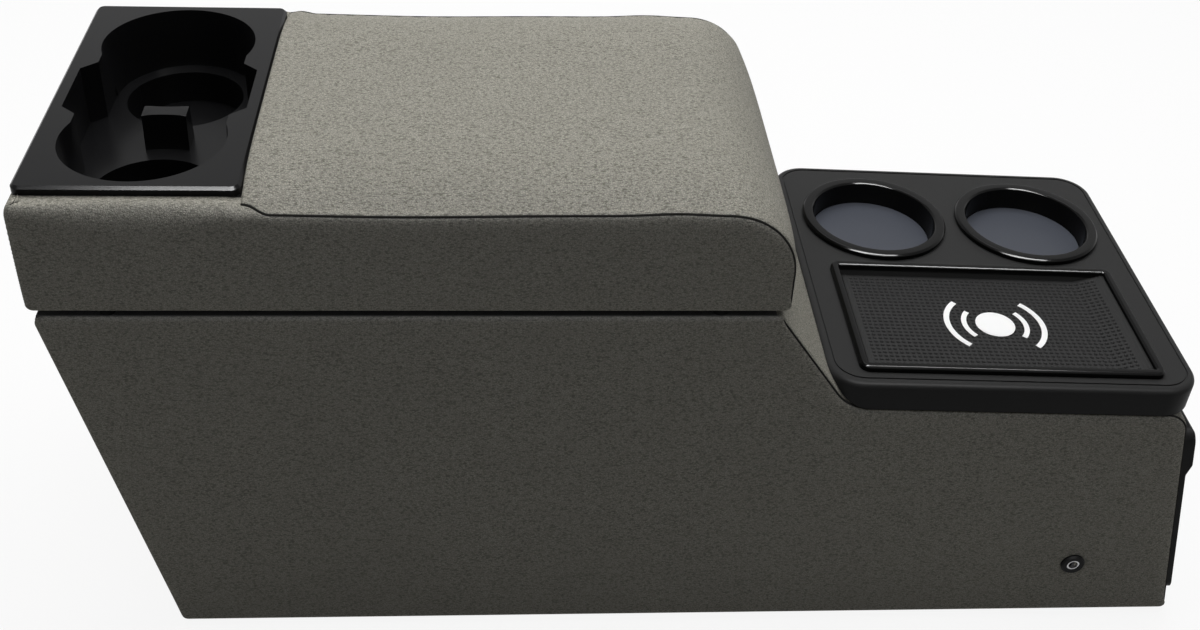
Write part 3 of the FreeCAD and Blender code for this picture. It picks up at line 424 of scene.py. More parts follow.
def coons(bottom, right, top, left):
    """Coons patch: the two blends between opposite sides, added, less the blend of the corners. Each
    blend runs with the mean of how far its two sides have come, so that no rows cross."""
    def progress(one, other, axis):
        shares = [(s[:, axis] - s[0, axis]) / (s[-1, axis] - s[0, axis]) for s in (one, other)]
        return (shares[0] + shares[1]) / 2
    u = progress(bottom, top, 0)[None, :, None]
    v = progress(left, right, 1)[:, None, None]
    across = (1 - v) * bottom[None] + v * top[None]
    along = (1 - u) * left[:, None] + u * right[:, None]
    corners = ((1 - u) * (1 - v) * bottom[0] + u * (1 - v) * bottom[-1]
               + (1 - u) * v * top[0] + u * v * top[-1])
    return across + along - corners


def relaxed(grid, rounds=400):
    """A grid whose inner points have moved, round by round, to the middle of their four neighbours."""
    for _ in range(rounds):
        grid[1:-1, 1:-1] = (grid[:-2, 1:-1] + grid[2:, 1:-1] + grid[1:-1, :-2] + grid[1:-1, 2:]) / 4
    return grid


def facing(name, sides, edge, place, body, toward, hole=None):
    """An upholstered panel on a flat outline given by four side curves. edge holds five lengths for
    each point of the outline: groove, reach, drop, tuck_in and tuck_down. The panel's edge is a
    quarter of an ellipse, reach wide and drop high, that ends inside the outline by the width of the
    seam's groove and then tucks in and down; inside, the padding swells as
    1 - exp(-distance / PILLOW_REACH). place turns (a, b, height) into points. A hole
    (a, b, radius, spread) moves the points nearer than spread outwards and leaves the middle open."""
    nu, nv = len(sides[0]), len(sides[3])
    groove, reach, drop, tuck_in, tuck_down = edge
    outline = sides_to_loop(*sides)
    run = np.roll(outline, -1, 0) - np.roll(outline, 1, 0)
    run /= np.linalg.norm(run, axis=1)[:, None]
    inward = np.stack([-run[:, 1], run[:, 0]], 1)
    outline = outline + inward * groove[:, None]
    loops, heights = [outline + inward * tuck_in[:, None]], [-drop - tuck_down - PILLOW]
    for turn in FACING_TURNS:
        inset = reach * (1 - math.cos(turn))
        loops.append(outline + inward * inset[:, None])
        heights.append(-drop * (1 - math.sin(turn)) - PILLOW * np.exp(-inset / PILLOW_REACH))
    grid = relaxed(coons(*loop_to_sides(loops.pop(), nu, nv)))
    heights.pop()
    flat = grid.reshape(-1, 2)
    inner_faces = grid_faces(nv, nu)
    if hole:
        a, b, radius, spread = hole
        away = flat - [a, b]
        far = np.linalg.norm(away, axis=1)
        face_far = np.linalg.norm(away[np.array(inner_faces)].mean(axis=1), axis=1)
        del inner_faces[int(face_far.argmin())]
        pushed = radius + far * (1 - radius / spread)
        flat = flat + away * np.where(far < spread, pushed / far - 1, 0.0)[:, None]
    gap = np.min(np.linalg.norm(flat[:, None] - outline[None], axis=2), axis=1)
    swell = -PILLOW * np.exp(-gap / PILLOW_REACH)
    points = np.concatenate([place(np.concatenate(loops), np.concatenate(heights)),
                             place(flat, swell)])
    rings, around = len(loops), len(outline)
    border = np.concatenate([np.arange(nu), np.arange(1, nv) * nu + nu - 1,
                             (nv - 1) * nu + np.arange(nu - 2, -1, -1),
                             np.arange(nv - 2, 0, -1) * nu]) + rings * around
    faces = grid_faces(rings, around, closed=True)
    last = (rings - 1) * around + np.arange(around)
    faces += np.stack([last, np.roll(last, -1), np.roll(border, -1), border], 1).tolist()
    faces += (np.array(inner_faces) + rings * around).tolist()
    return add_piece(name, points, faces, LEATHER, body, toward)


def outward(path):
    """Unit normals to the left of a path in the XZ plane."""
    run = np.gradient(path, axis=0)
    run /= np.linalg.norm(run, axis=1)[:, None]
    return np.stack([-run[:, 1], run[:, 0]], 1)


def strip(name, path, rise, body, toward):
    """A leatherette strip: a path in the XZ plane carried across Y. Near both long edges it rolls
    down into the seam by a quarter of an ellipse and ends in a skirt; rise gives how far each path
    point swells outwards in the middle."""
    out = outward(path)
    flat_half = STRIP_HALF - STRIP_REACH
    roll_y = flat_half + STRIP_REACH * np.sin(STRIP_TURNS)
    roll_down = STRIP_DROP * (1 - np.cos(STRIP_TURNS))
    roll_down[-1] += STRIP_SKIRT
    inner = np.linspace(-flat_half, flat_half, 41)[1:-1]
    y = np.concatenate([-roll_y[::-1], inner, roll_y])
    down = np.concatenate([roll_down[::-1], np.zeros(len(inner)), roll_down])
    level = rise[:, None] * (1 - np.abs(y / STRIP_HALF)[None] ** 4) - down[None]
    points = np.empty((len(path), len(y), 3))
    points[..., 0] = path[:, None, 0] + out[:, None, 0] * level
    points[..., 1] = y[None]
    points[..., 2] = path[:, None, 1] + out[:, None, 1] * level
    return add_piece(name, points, grid_faces(len(path), len(y)), LEATHER, body, toward)


def seam_thread(name, path, body, around=8):
    """A round thread: a circle carried along a path of points, square to it, closed at both ends. Its
    dark colour is painted shade in the seam's groove.
    """
    run = np.gradient(path, axis=0)
    run /= np.linalg.norm(run, axis=1)[:, None]
    side = np.cross(run, [0.0, 1.0, 0.0])
    side /= np.linalg.norm(side, axis=1)[:, None]
    other = np.cross(run, side)
    turn = np.linspace(0, 2 * math.pi, around, endpoint=False)[None, :, None]
    ring = np.cos(turn) * side[:, None] + np.sin(turn) * other[:, None]
    stack(name, path[:, None] + THREAD_RADIUS * ring, SEAM_SHADE_THREAD, body)


def on_tray(points):
    """Points of the tray's own tilted frame, in the row frame."""
    points = np.asarray(points, float)
    c, s = math.cos(TRAY_TILT), math.sin(TRAY_TILT)
    return np.stack([TRAY_ORIGIN[0] + points[..., 0] * c + points[..., 2] * s, points[..., 1],
                     TRAY_ORIGIN[1] - points[..., 0] * s + points[..., 2] * c], -1)


# Console body

def body_outline(length_count=230, height_count=60):
    """The four side curves of the body's outline: foot, front, top and rear."""
    outline, at = rounded([(*REAR_FOOT, FOOT_ROUND), (*FRONT_FOOT, FOOT_ROUND),
                           (*SHOULDER, SHOULDER_ROUND), (*RISER_FOOT, RISER_ROUND),
                           (*RISER_RIM, RIM_ROUND), (*REAR_RIM, RIM_ROUND)], closed=True)
    foot = outline[at[0]:at[1] + 1]
    front = outline[at[1]:at[2] + 1]
    top = outline[at[2]:at[5] + 1][::-1]
    rear = np.concatenate([outline[at[5]:], outline[:at[0] + 1]])[::-1]
    return (resample(foot, length_count), resample(front, height_count),
            resample(top, length_count), resample(rear, height_count))


def body_edge(loop):
    """The edge of the side facings: it rolls broadly at the seams and tightly at the rim and the
    foot. The seam's groove is open along the front wrap, and closed at the rim and the foot."""
    x, z = loop[:, 0], loop[:, 1]
    at_rim = smooth_step(z, RIM_Z - 18, RIM_Z - 4)
    at_foot = 1 - smooth_step(z, FOOT_Z + 4, FOOT_Z + 20)
    below_rim = 1 - smooth_step(z, RIM_Z - 2.5, RIM_Z - 0.5)
    above_foot = smooth_step(z, FOOT_Z + 1, FOOT_Z + 10)
    along_wrap = smooth_step(x, RISER_RIM[0] - 6, RISER_RIM[0] + 6)
    groove = GROOVE * (along_wrap * above_foot * below_rim)
    reach = EDGE_REACH - 4.6 * at_rim - 5.4 * at_foot
    drop = EDGE_DROP + 0.3 * at_rim
    tuck_in = np.full(len(loop), SEAM_DEPTH)
    return groove, reach, drop, tuck_in, np.zeros(len(loop))


def side_place(side):
    """Points of one side facing: flat is (x, z) and height is square to the side."""
    def place(flat, height):
        return np.stack([flat[:, 0], side * (HALF_WIDTH + height), flat[:, 1]], 1)
    return place


body_sides = body_outline()
side_edge = body_edge(sides_to_loop(*body_sides))
jack_hole = (*JACK_PLACE, 5.6, 14.0)
for name, side, hole in (("right_side_cover", -1, jack_hole), ("left_side_cover", 1, None)):
    panel = facing(name + "_soft", body_sides, side_edge, side_place(side), "console",
                   (0, side, 0), hole)
    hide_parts(name)
    thicken(panel, SHEET)

wrap_corners = [(52.0, RIM_Z - 1.2, 0), (*RISER_RIM, RIM_ROUND), (*RISER_FOOT, RISER_ROUND),
                (*SHOULDER, SHOULDER_ROUND), (*FRONT_FOOT, FOOT_ROUND), (330.0, FOOT_Z, 0)]
wrap_path = resample(rounded(wrap_corners)[0], 200)
shoulder_far = np.linalg.norm(wrap_path - np.array(SHOULDER), axis=1)
shoulder_rise = 1.2 * bell(shoulder_far, 0, SHOULDER_ROUND)
wrap = strip("front_wrap_cover_soft", wrap_path, shoulder_rise, "console", (0.5, 0, 1))
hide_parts("front_wrap_cover")
thicken(wrap, SHEET)

rear_corners = [(-277.0, FOOT_Z, 0), (*REAR_FOOT, FOOT_ROUND), (-338.9, 237.2, 1.0),
                (-334.0, 237.2, 0)]
rear_path = resample(rounded(rear_corners)[0], 90)
rear = strip("rear_cover_soft", rear_path, np.zeros(len(rear_path)), "console", (-1, 0, 0))
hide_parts("rear_cover")
thicken(rear, SHEET)

# Dark threads along the front and rear seams: painted shade in their grooves.
for name, path in (("front", wrap_path), ("rear", rear_path)):
    sunk = path - outward(path) * THREAD_DEPTH
    for hand, side in HANDS:
        line = np.stack([sunk[:, 0], np.full(len(sunk), side * THREAD_Y), sunk[:, 1]], 1)
        seam_thread(f"{hand}_{name}_seam_thread", line, "console")


# Lid

REAR_ARC = LID_CORNER * math.pi / 2
ARC_START = LID_REAR + LID_CORNER
REAR_MIDDLE = ARC_START - REAR_ARC - (HALF_WIDTH - LID_CORNER)
BROAD_DROP = 5.2  # what the band's rolled edge gains where the armrest ends
CORNER_DROP = 3.4  # height of the rolled edge round the lid's rear corners
HEM_DROP = 0.5
HEM_SHARE = 0.32  # the hem's reach as a share of the reach above it


def seam_height(x):
    """Height of the lid's top seam: level, with a dip behind the middle and a rise at the nose."""
    return LID_SEAM_Z - 1.3 * bell(x, -140, 60) + 1.3 * bell(x, 3, 20)


def corner_rise(x):
    """0 along the armrest and 1 beside the insert: how far the seam has climbed to the insert."""
    return 1 - smooth_step(x, -219.0, -207.5)


def crown_height(x):
    """Height of the band's upper edge: the seam, and the block's top beside the insert."""
    level = seam_height(x)
    return level + (BLOCK_TOP_Z - level) * corner_rise(x)


def crown_drop(x):
    """Height of the band's rolled upper edge: low at the seam, and a full roll beside the insert."""
    broad = BROAD_DROP * (1 - smooth_step(x, -224.0, -209.0))
    full = (BLOCK_ROLL - EDGE_DROP - BROAD_DROP) * (1 - smooth_step(x, -236.0, -224.0))
    return EDGE_DROP + broad + full


def nose_share(z):
    """0 below the nose's round and 1 at the seam."""
    return np.clip((z - LID_SEAM_Z + NOSE_RADIUS) / NOSE_RADIUS, 0, 1)


def folded(a):
    """The band's length measured from either nose: the left half counts like the right one."""
    return np.where(a < REAR_MIDDLE, 2 * REAR_MIDDLE - a, a)


def lid_place(flat, height):
    """Band points: the flat a runs along the right side, round the rear corner, across the rear and
    back along the left side; height is square to that line. Deeper than the corner's radius, the
    side and the rear go straight on, and the corner's points turn from one to the other."""
    a = folded(flat[:, 0])
    turn = np.clip((ARC_START - a) / LID_CORNER, 0, math.pi / 2)
    along = np.maximum(a - ARC_START, 0)
    across = np.maximum(ARC_START - REAR_ARC - a, 0)
    reach = np.maximum(LID_CORNER + height, 0)
    deep = np.minimum(LID_CORNER + height, 0)
    x = ARC_START + along - np.sin(turn) * reach - np.sin(turn) ** 2 * deep
    y = HALF_WIDTH - LID_CORNER - across + np.cos(turn) * reach + np.cos(turn) ** 2 * deep
    return np.stack([x, np.where(flat[:, 0] < REAR_MIDDLE, y, -y), flat[:, 1]], 1)


def mirrored(line):
    """A line of the band's right half on the left half."""
    return line * [-1, 1] + [2 * REAR_MIDDLE, 0]


def both_halves(line):
    """A line from the rear's middle to the right nose, led on over the middle to the left nose."""
    return np.concatenate([mirrored(line)[:0:-1], line])


def band_outline(nose, at, length_count=260, nose_count=40):
    """The four side curves of the band laid flat: hem, right nose, crown and left nose. nose is the
    lid's side outline from the hem to the seam, and at has the indices of its corners."""
    corner = np.linspace(ARC_START + 3, ARC_START - REAR_ARC - 3, 16)
    hem = np.concatenate([nose[:1], np.stack([corner[::-1], np.full(len(corner), LID_Z)], 1),
                          nose[1:at[1] + 1]])
    back = np.concatenate([np.linspace(28, -200, 40), np.linspace(-201, -240, 40), [-300.0],
                           corner, [REAR_MIDDLE]])
    crown = np.concatenate([nose[at[2]:-1], np.stack([back, crown_height(back)], 1)])[::-1]
    side = resample(nose[at[1]:at[2] + 1], nose_count)
    return (both_halves(resample(hem, length_count)), side,
            both_halves(resample(crown, length_count)), mirrored(side))


def band_edge(loop):
    """The edge of the band: a seam along the armrest and round the nose, a broad roll down to the
    insert on the block, a low roll round the rear corners and a tight hem below."""
    a, z = folded(loop[:, 0]), loop[:, 1]
    upper = smooth_step(z, LID_SEAM_Z - 8, LID_SEAM_Z - 3)
    hem = 1 - smooth_step(z, LID_Z + 0.5, LID_Z + 4)
    block = upper * corner_rise(a)
    behind = upper * (1 - smooth_step(a, ARC_START - REAR_ARC, ARC_START))
    at_corner = upper * (1 - smooth_step(a, ARC_START, -290.0))
    drop = EDGE_DROP + upper * (crown_drop(a) - EDGE_DROP) + HEM_DROP * hem
    drop = drop + (CORNER_DROP - drop) * at_corner
    broad = upper * (1 - smooth_step(a, -275.0, -222.0)) - at_corner
    reach = EDGE_REACH + (BLOCK_REACH - EDGE_REACH) * broad
    reach = reach - 2.5 * upper * bell(a, -214, 14)
    reach = reach * (HEM_SHARE + (1 - HEM_SHARE) * smooth_step(z, LID_Z + 3, LID_Z + 22))
    groove = GROOVE * (smooth_step(a, -232.0, -222.0) * smooth_step(z, LID_Z + 2, LID_Z + 8))
    tuck_in = SEAM_DEPTH * (1 - block)
    tuck_down = block * (BLOCK_TUCK - REAR_TUCK * behind - drop)
    return groove, reach, drop, tuck_in, tuck_down


nose, nose_at = rounded([(REAR_MIDDLE, LID_Z, 0), (LID_FRONT, LID_Z, NOSE_FOOT_ROUND),
                         (LID_FRONT, LID_SEAM_Z, NOSE_RADIUS), (0.0, LID_SEAM_Z, 0)], arc_points=33)
nose[:, 1] += nose_share(nose[:, 1]) * (seam_height(nose[:, 0]) - LID_SEAM_Z)
band_sides = band_outline(nose, nose_at)
band = facing("lid_band_cover_soft", band_sides, band_edge(sides_to_loop(*band_sides)), lid_place,
              "lid", (-1, 0, 0))
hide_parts("lid_band_cover")
thicken(band, SHEET)

seam_x = np.concatenate([np.linspace(-223.0, -200.0, 40), np.linspace(-196.0, 24.0, 80)])
seam_line = np.concatenate([np.stack([seam_x, crown_height(seam_x)], 1),
                            nose[nose_at[1]:-1][::-1]])
seam_sunk = seam_line - outward(seam_line) * THREAD_DEPTH
seam_y = THREAD_Y + EDGE_DROP - crown_drop(seam_line[:, 0])
# Dark threads along the lid's seams: painted shade in their grooves.
for hand, side in HANDS:
    line = np.stack([seam_sunk[:, 0], side * seam_y, seam_sunk[:, 1]], 1)
    seam_thread(hand + "_lid_seam_thread", line, "lid")


def armrest(across_count=97):
    """Padded top: the lid's side outline, from the insert over the top, round the nose and down to
    its foot, carried across Y. At a share s of the half width the outline is grown by the crown
    times 1 - |s|^5 and the nose's radius with it; past the shoulder of each seam the leatherette
    rolls down into the seam. Towards the insert its edge runs in and up to the insert's corner, and
    its rear edge turns down beside the insert."""
    turn = STRIP_TURNS[1:]
    spread = np.linspace(-1, 1, across_count)
    spread = 0.55 * np.sin(spread * math.pi / 2) + 0.45 * spread
    inside = np.zeros(across_count)
    share = np.concatenate([np.full(len(turn), -1.0), spread, np.full(len(turn), 1.0)])
    beyond = np.concatenate([-np.sin(turn[::-1]), inside, np.sin(turn)]) * STRIP_REACH
    down = np.concatenate([1 - np.cos(turn[::-1]), inside, 1 - np.cos(turn)]) * STRIP_DROP
    down[[0, -1]] += STRIP_SKIRT
    edge = np.abs(share) ** 5
    grow = PAD_CROWN * (1 - edge)
    radius = NOSE_RADIUS + NOSE_SWELL * grow
    front = LID_FRONT + NOSE_PUSH * grow
    top = LID_SEAM_Z + grow

    # Rows: along the top, round the nose, down its front, round its foot and a little under it
    t = np.concatenate([np.linspace(0, 0.012, 9)[:-1], np.linspace(0.012, 0.07, 24)[:-1],
                        np.linspace(0.07, 1, 70)])[:, None]
    angle = np.linspace(0, math.pi / 2, 42)[1:, None]
    fall = np.linspace(0, 1, 12)[1:, None]
    foot = np.linspace(0, math.pi / 2, 10)[1:, None]
    under = np.linspace(0, 1, 6)[1:, None]
    low_x = front - NOSE_FOOT_ROUND
    low_z = LID_Z + 0.4 + NOSE_FOOT_ROUND
    x = np.concatenate([PAD_REAR + (front - radius - PAD_REAR) * t,
                        front - radius + radius * np.sin(angle),
                        front + 0 * fall,
                        low_x + NOSE_FOOT_ROUND * np.cos(foot),
                        low_x + (np.minimum(low_x - 1, 66.0) - low_x) * under])
    z = np.concatenate([top + 0 * t,
                        top - radius + radius * np.cos(angle),
                        top - radius + (low_z - top + radius) * fall,
                        low_z - NOSE_FOOT_ROUND * np.sin(foot) + 0 * front,
                        low_z - NOSE_FOOT_ROUND + 0 * low_x * under])
    flat = np.ones(len(share))
    out_x = np.concatenate([0 * t, np.sin(angle), 1 + 0 * fall, np.cos(foot), 0 * under]) * flat
    out_z = np.concatenate([1 + 0 * t, np.cos(angle), 0 * fall, -np.sin(foot), -1 + 0 * under]) * flat

    wave = seam_height(x) - LID_SEAM_Z
    climb = corner_rise(x)
    z = z + edge * (nose_share(z) * wave * (1 - climb) + (BLOCK_TOP_Z - LID_SEAM_Z) * climb)
    back = np.clip((x - PAD_REAR) / 2.6, 0, 1)
    drop = 2.2 * (1 - np.sqrt(1 - (1 - back) ** 2))
    near_seam = np.exp(-(1 - np.abs(share)) * HALF_WIDTH / 9.0)
    pucker = 0.2 * near_seam * np.sin(x / 2.6 + 3 * np.sin(x / 31))
    level = pucker - down
    half = STRIP_HALF + EDGE_DROP - crown_drop(x) - STRIP_REACH
    points = np.stack([x + out_x * level, share * half + beyond, z + out_z * level - drop], -1)
    lip = [points[:1] - [0.0, 0.0, depth] for depth in (5.0, 2.5)]
    points = np.concatenate([*lip, points])
    return add_piece("armrest_top_pad_soft", points, grid_faces(*points.shape[:2]), LEATHER,
                     "lid", (0.4, 0, 1))


top_pad = armrest()
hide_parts("armrest_top_pad")
thicken(top_pad, PAD_SHEET)


# Front tray

def eased(before, start, end, after, ease=0.35):
    """A bevel from start to end whose two corners are short quadratic curves towards the points
    before and after it."""
    corners = np.array([before, start, end, after], float)
    t = np.linspace(0, 1, 5)[:, None]
    points = []
    for one, here, other in zip(corners, corners[1:], corners[2:]):
        to_one = (one - here) / np.linalg.norm(one - here)
        to_other = (other - here) / np.linalg.norm(other - here)
        a, b = here + ease * to_one, here + ease * to_other
        points.extend(((1 - t) ** 2 * a + 2 * t * (1 - t) * here + t ** 2 * b).tolist())
    return [tuple(p) for p in points]


def cup_ring(name, place, around=160):
    """A drop-in cup: a profile of radius and height turned about its own axis. The flat rim has a
    flared wall outside, a bevel at each edge with its ends eased, and a bowl that closes below."""
    profile = [(4.0, 4.0), (41.6, 4.0), (41.7, 18.4), (46.7, TRAY_TOP), (47.0, 19.6), (47.2, 20.9)]
    profile += eased((47.2, 20.9), (47.2, 21.3), (46.0, RIM_TOP), (44.0, RIM_TOP))
    profile += eased((42.4, RIM_TOP), (41.0, RIM_TOP), (40.0, 21.5), (39.9, 20.3))
    profile += [(39.5, 14.0), (39.1, 8.0), (38.9, 7.0), (38.2, 6.2), (37.0, 5.9), (20.0, 5.9),
                (4.0, 5.9)]
    radius, height = np.array(profile).T[:, :, None]
    turn = np.linspace(0, 2 * math.pi, around, endpoint=False)
    loops = np.stack([place[0] + radius * np.cos(turn), place[1] + radius * np.sin(turn),
                      np.broadcast_to(height, (len(profile), around))], -1)
    ring = stack(name + "_soft", on_tray(loops), GLOSS, "console")
    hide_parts(name)


def pad_loop(inset):
    """A rounded rectangle inside the charging pad's outline by inset, as points about its middle."""
    a, b = PAD_SIZE[0] / 2 - inset, PAD_SIZE[1] / 2 - inset
    r = max(PAD_CORNER - inset, 0.4)
    quarter = np.linspace(0, math.pi / 2, 13)
    x = np.concatenate([a - r + r * np.cos(quarter), -a + r - r * np.sin(quarter),
                        -a + r - r * np.cos(quarter), a - r + r * np.sin(quarter)])
    y = np.concatenate([b - r + r * np.sin(quarter), b - r + r * np.cos(quarter),
                        -b + r - r * np.sin(quarter), -b + r - r * np.cos(quarter)])
    return x, y


def charger_rim():
    """The pad's rim and pan: a profile of inset and height carried round a rounded rectangle. The
    profile begins and ends with a small loop at the pan's middle."""
    middle = 60.0
    profile = [(middle, PAN_UNDER), (3.0, PAN_UNDER), (3.0, TRAY_TOP), (0.0, TRAY_TOP)]
    profile += eased((0.0, 20.5), (0.0, 21.3), (1.2, RIM_TOP), (2.2, RIM_TOP))
    profile += eased((3.0, RIM_TOP), (4.0, RIM_TOP), (PAN_INSET, 21.5), (PAN_INSET, 20.5))
    profile += [(PAN_INSET, PAN_FLOOR), (middle, PAN_FLOOR)]
    loops = []
    for inset, z in profile:
        x, y = pad_loop(min(inset, PAN_INSET))
        shrink = 0.05 if inset == middle else 1.0
        loops.append(np.stack([PAD_PLACE[0] + x * shrink, PAD_PLACE[1] + y * shrink,
                               np.full(len(x), z)], -1))
    rim = stack("charger_frame_soft", on_tray(loops), GLOSS, "console")
    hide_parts("charger_frame")


def charger_mat():
    """The mat as a height over a grid: flat, with a square lattice of round dimples and a ramp up to
    the front end, and two fine ridges along each short end. The grid's lines lie closer at the
    dimples' edges, and its outermost ones drop to the pan as the mat's own edge."""
    a, b = PAD_SIZE[0] / 2 - MAT_INSET, PAD_SIZE[1] / 2 - MAT_INSET
    cell = np.array([-1.7, -1.08, -0.84, -0.45, 0.0, 0.45, 0.84, 1.08])
    margin_step = 0.4
    lines = []
    for reach in (a, b):
        count = int((reach - 2.6) / DIMPLE_PITCH)
        inner = (np.arange(-count, count + 1)[:, None] * DIMPLE_PITCH + cell).ravel()
        rest = np.arange(inner[-1] + margin_step, reach, margin_step)
        lines.append(np.concatenate([[-reach, -reach], -rest[::-1], inner, rest, [reach, reach]]))
    gx, gy = np.meshgrid(*lines)
    near = np.hypot(gx - DIMPLE_PITCH * np.round(gx / DIMPLE_PITCH),
                    gy - DIMPLE_PITCH * np.round(gy / DIMPLE_PITCH))
    from_end, from_side = a - np.abs(gx), b - np.abs(gy)
    dotted = (from_end > 7.0) & (from_side > 2.4)
    z = MAT_FLAT + RAMP_RISE * np.clip((gx - a + RAMP_RUN) / (RAMP_RUN - 1), 0, 1)
    z -= np.where(dotted, DIMPLE_DEPTH * (1 - smooth_step(near, 0.8, 1.1)), 0.0)
    for ridge in (2.2, 4.6):
        z += 0.35 * bell(from_end, ridge, 0.45)
    z[[0, -1]] = PAN_FLOOR
    z[:, [0, -1]] = PAN_FLOOR
    points = np.stack([PAD_PLACE[0] + gx, PAD_PLACE[1] + gy, z], -1)
    mat = add_piece("charger_mat_soft", on_tray(points), grid_faces(*gx.shape), MAT, "console",
                    (0, 0, 1))
    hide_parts("charger_mat")


def sign_points(radius, angle, z):
    """An arc of the charging sign about its middle, at one height."""
    return np.stack([SIGN_PLACE[0] + radius * np.cos(angle), SIGN_PLACE[1] + radius * np.sin(angle),
                     np.full(len(angle), z)], -1)


def sign_part(name, loops):
    """One printed shape of the charging sign, closed below."""
    stack(name, on_tray(loops), PRINT, "console").data.shade_flat()


def charging_sign():
    """The wireless charging sign: a disc, and two arcs on either side of it that are thin ring
    sectors."""
    low, high = MAT_FLAT, MAT_FLAT + INK
    turn = np.linspace(0, 2 * math.pi, 96, endpoint=False)
    sign_part("charging_sign_disc", [sign_points(12.1, turn, z) for z in (low, high)])
    for ring, inner, outer, spread, columns in (("inner", 17.6, 20.8, 39, 40),
                                                ("outer", 28.0, 31.5, 46, 56)):
        section = [(inner, low), (inner, high), (outer, high), (outer, low)]
        for end, middle in (("front", 0), ("rear", 180)):
            angle = np.linspace(math.radians(middle - spread), math.radians(middle + spread), columns)
            sign_part(f"charging_sign_{ring}_{end}",
                      np.stack([sign_points(r, angle, z) for r, z in section], 1))


for which, spot in CUP_PLACES.items():
    cup_ring(which + "_tray_cup", spot)
charger_rim()
charger_mat()
charging_sign()


# Other CAD nodes keep their meshes and get their material and smooth edges

MATERIAL_NODES = (
    (BASE, ["base_pad"]),
    (LINING, ["base_board", "right_side_panel", "left_side_panel", "rear_panel", "riser_panel",
              "shelf_panel", "front_panel", "lid_base_board", "insert_frame"]),
    (FOAM, ["armrest_core"]),
    (TRAY, ["tray_body", "access_panel", "charger_housing"]),
    (INSERT, ["cup_insert"]),
    (CUP_MAT, ["rear_cup_mat", "front_cup_mat"]),
    (STEEL, ["hinge_body_leaf", "hinge_lid_leaf", "hinge_pin"]),
    (SCREWS, ["tray_screws", "access_panel_screws", "hinge_body_screws", "hinge_lid_screws"]),
    (NYLON, ["jack_body", "jack_nut"]),
    (NICKEL, ["jack_sleeve", "jack_pin"]),
    (COPPER, ["charging_coil"]),
    (FERRITE, ["ferrite_plate"]),
    (CIRCUIT, ["circuit_board"]),
    (JACKET, ["charger_lead"]),
    (BUFFER, ["rim_buffers"]),
)
WELD_METRES = 0.00001
SMOOTH_BELOW = math.radians(28)

for material, names in MATERIAL_NODES:
    for name in names:
        node = nodes[name]
        node.data.materials.clear()
        node.data.materials.append(material)
        weld = node.modifiers.new("weld", "WELD")
        weld.merge_threshold = WELD_METRES
        split = node.modifiers.new("edges", "EDGE_SPLIT")
        split.split_angle = SMOOTH_BELOW
        node.data.polygons.foreach_set("use_smooth", np.ones(len(node.data.polygons), bool))


# Stage

def camera():
    """The photograph's camera: a pinhole that looks down and a little to the front, with a slight
    roll."""
    ahead = np.array([math.sin(YAW) * math.cos(PITCH), math.cos(YAW) * math.cos(PITCH),
                      -math.sin(PITCH)])
    right = np.array([math.cos(YAW), -math.sin(YAW), 0.0])
    up = np.cross(right, ahead)
    across = math.cos(ROLL) * right + math.sin(ROLL) * up
    above = -math.sin(ROLL) * right + math.cos(ROLL) * up
    data = bpy.data.cameras.new("camera")
    data.sensor_width = SENSOR
    data.lens = SENSOR * FOCAL_PIXELS / FRAME_PIXELS
    data.clip_start = 0.01
    eye = bpy.data.objects.new("camera", data)
    bpy.context.scene.collection.objects.link(eye)
    turn = np.eye(4)
    turn[:3, 0], turn[:3, 1], turn[:3, 2] = across, above, -ahead
    turn[:3, 3] = np.array(EYE) * MM
    eye.matrix_world = Matrix(turn.tolist())
    bpy.context.scene.camera = eye


def seen(tree):
    """1 for rays that show a surface as it is looked at, seen in a reflection or through glass, and
    0 for light that it sends on."""
    path = add(tree, "ShaderNodeLightPath")
    first = add(tree, "ShaderNodeMath", {"operation": "MAXIMUM"},
                links={0: path.outputs["Is Camera Ray"], 1: path.outputs["Is Glossy Ray"]})
    both = add(tree, "ShaderNodeMath", {"operation": "MAXIMUM"},
               links={0: first.outputs["Value"], 1: path.outputs["Is Transmission Ray"]})
    return both.outputs["Value"]


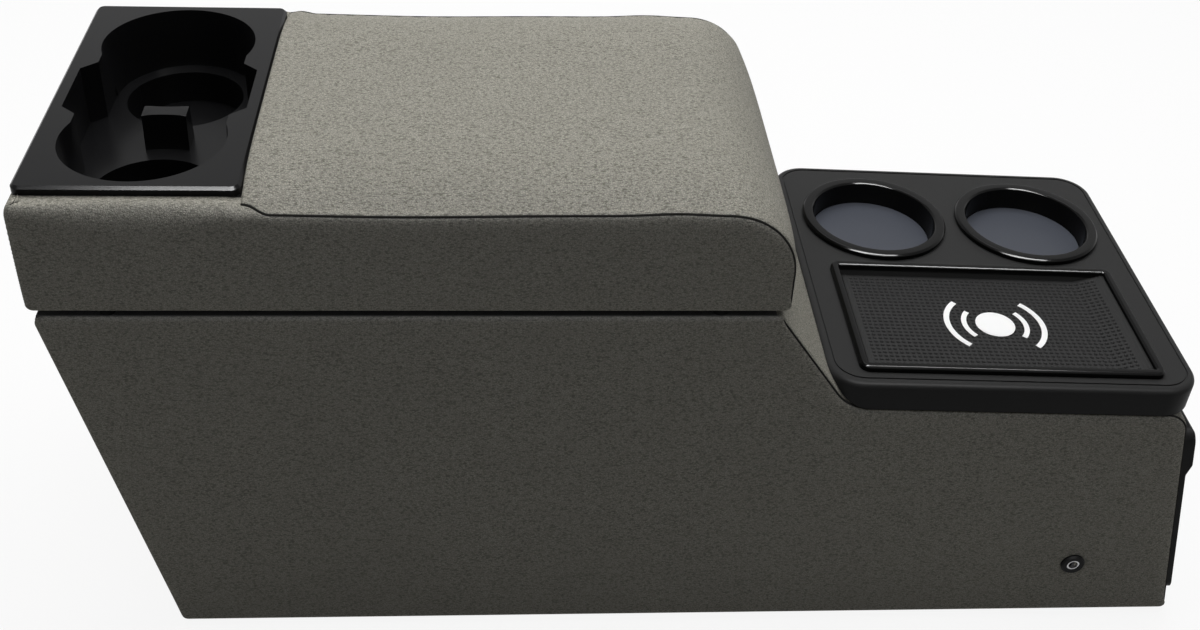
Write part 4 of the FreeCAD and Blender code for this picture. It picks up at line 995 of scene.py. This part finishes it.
def studio_floor(size=8.0, bounce=0.33, glow_share=0.9):
    """A white floor that keeps a faint shadow and sends on only a part of its light."""
    mesh = bpy.data.meshes.new("floor")
    mesh.from_pydata([(-size, -size, 0), (size, -size, 0), (size, size, 0), (-size, size, 0)], [],
                     [(0, 1, 2, 3)])
    floor = bpy.data.objects.new("floor", mesh)
    bpy.context.scene.collection.objects.link(floor)
    material, tree, shader, _ = new_material("pale_studio_floor")
    shown = seen(tree)
    pale = add(tree, "ShaderNodeMix", {"data_type": "RGBA"},
               {"A": (bounce, bounce, bounce, 1.0), "B": WHITE}, {"Factor": shown})
    tree.links.new(pale.outputs["Result"], shader.inputs["Base Color"])
    shader.inputs["Roughness"].default_value = 1.0
    shader.inputs["Specular IOR Level"].default_value = 0.0
    glow = add(tree, "ShaderNodeEmission", values={"Color": WHITE, "Strength": 1.0})
    share = add(tree, "ShaderNodeMath", {"operation": "MULTIPLY"}, {1: glow_share}, {0: shown})
    mixed = add(tree, "ShaderNodeMixShader", links={0: share.outputs["Value"],
                                                    1: shader.outputs["BSDF"],
                                                    2: glow.outputs["Emission"]})
    tree.links.new(mixed.outputs["Shader"], tree.nodes["Material Output"].inputs["Surface"])
    mesh.materials.append(material)


def room(light=0.115):
    """A room that looks white and gives the scene a little light from all sides."""
    world = bpy.data.worlds.new("white_room")
    world.use_nodes = True
    tree = world.node_tree
    tree.nodes.clear()
    level = add(tree, "ShaderNodeMapRange", values={"To Min": light, "To Max": 1.0},
                links={"Value": seen(tree)})
    back = add(tree, "ShaderNodeBackground", values={"Color": WHITE},
               links={"Strength": level.outputs["Result"]})
    add(tree, "ShaderNodeOutputWorld", links={"Surface": back.outputs["Background"]})
    bpy.context.scene.world = world


def lamp(name, size, watts, place, tilt):
    """A rectangular lamp that faces down, tilted about X by some degrees; lengths in metres."""
    data = bpy.data.lights.new(name, "AREA")
    data.shape = "RECTANGLE"
    data.size, data.size_y = size
    data.energy = watts
    made = bpy.data.objects.new(name, data)
    bpy.context.scene.collection.objects.link(made)
    made.location = place
    made.rotation_euler = (math.radians(tilt), 0, 0)
    return made


camera()
studio_floor()
room()
lamp("overhead_softbox", (1.6, 1.2), 29.0, (0.0, 0.45, 1.75), -14)
# Seen in reflections only: it draws the thin highlights on the glossy rims.
lamp("glint_strip", (1.6, 0.24), 150.0, (0.15, -0.78, 1.58), 31).visible_diffuse = False
view = bpy.context.scene.view_settings
view.view_transform = "Standard"
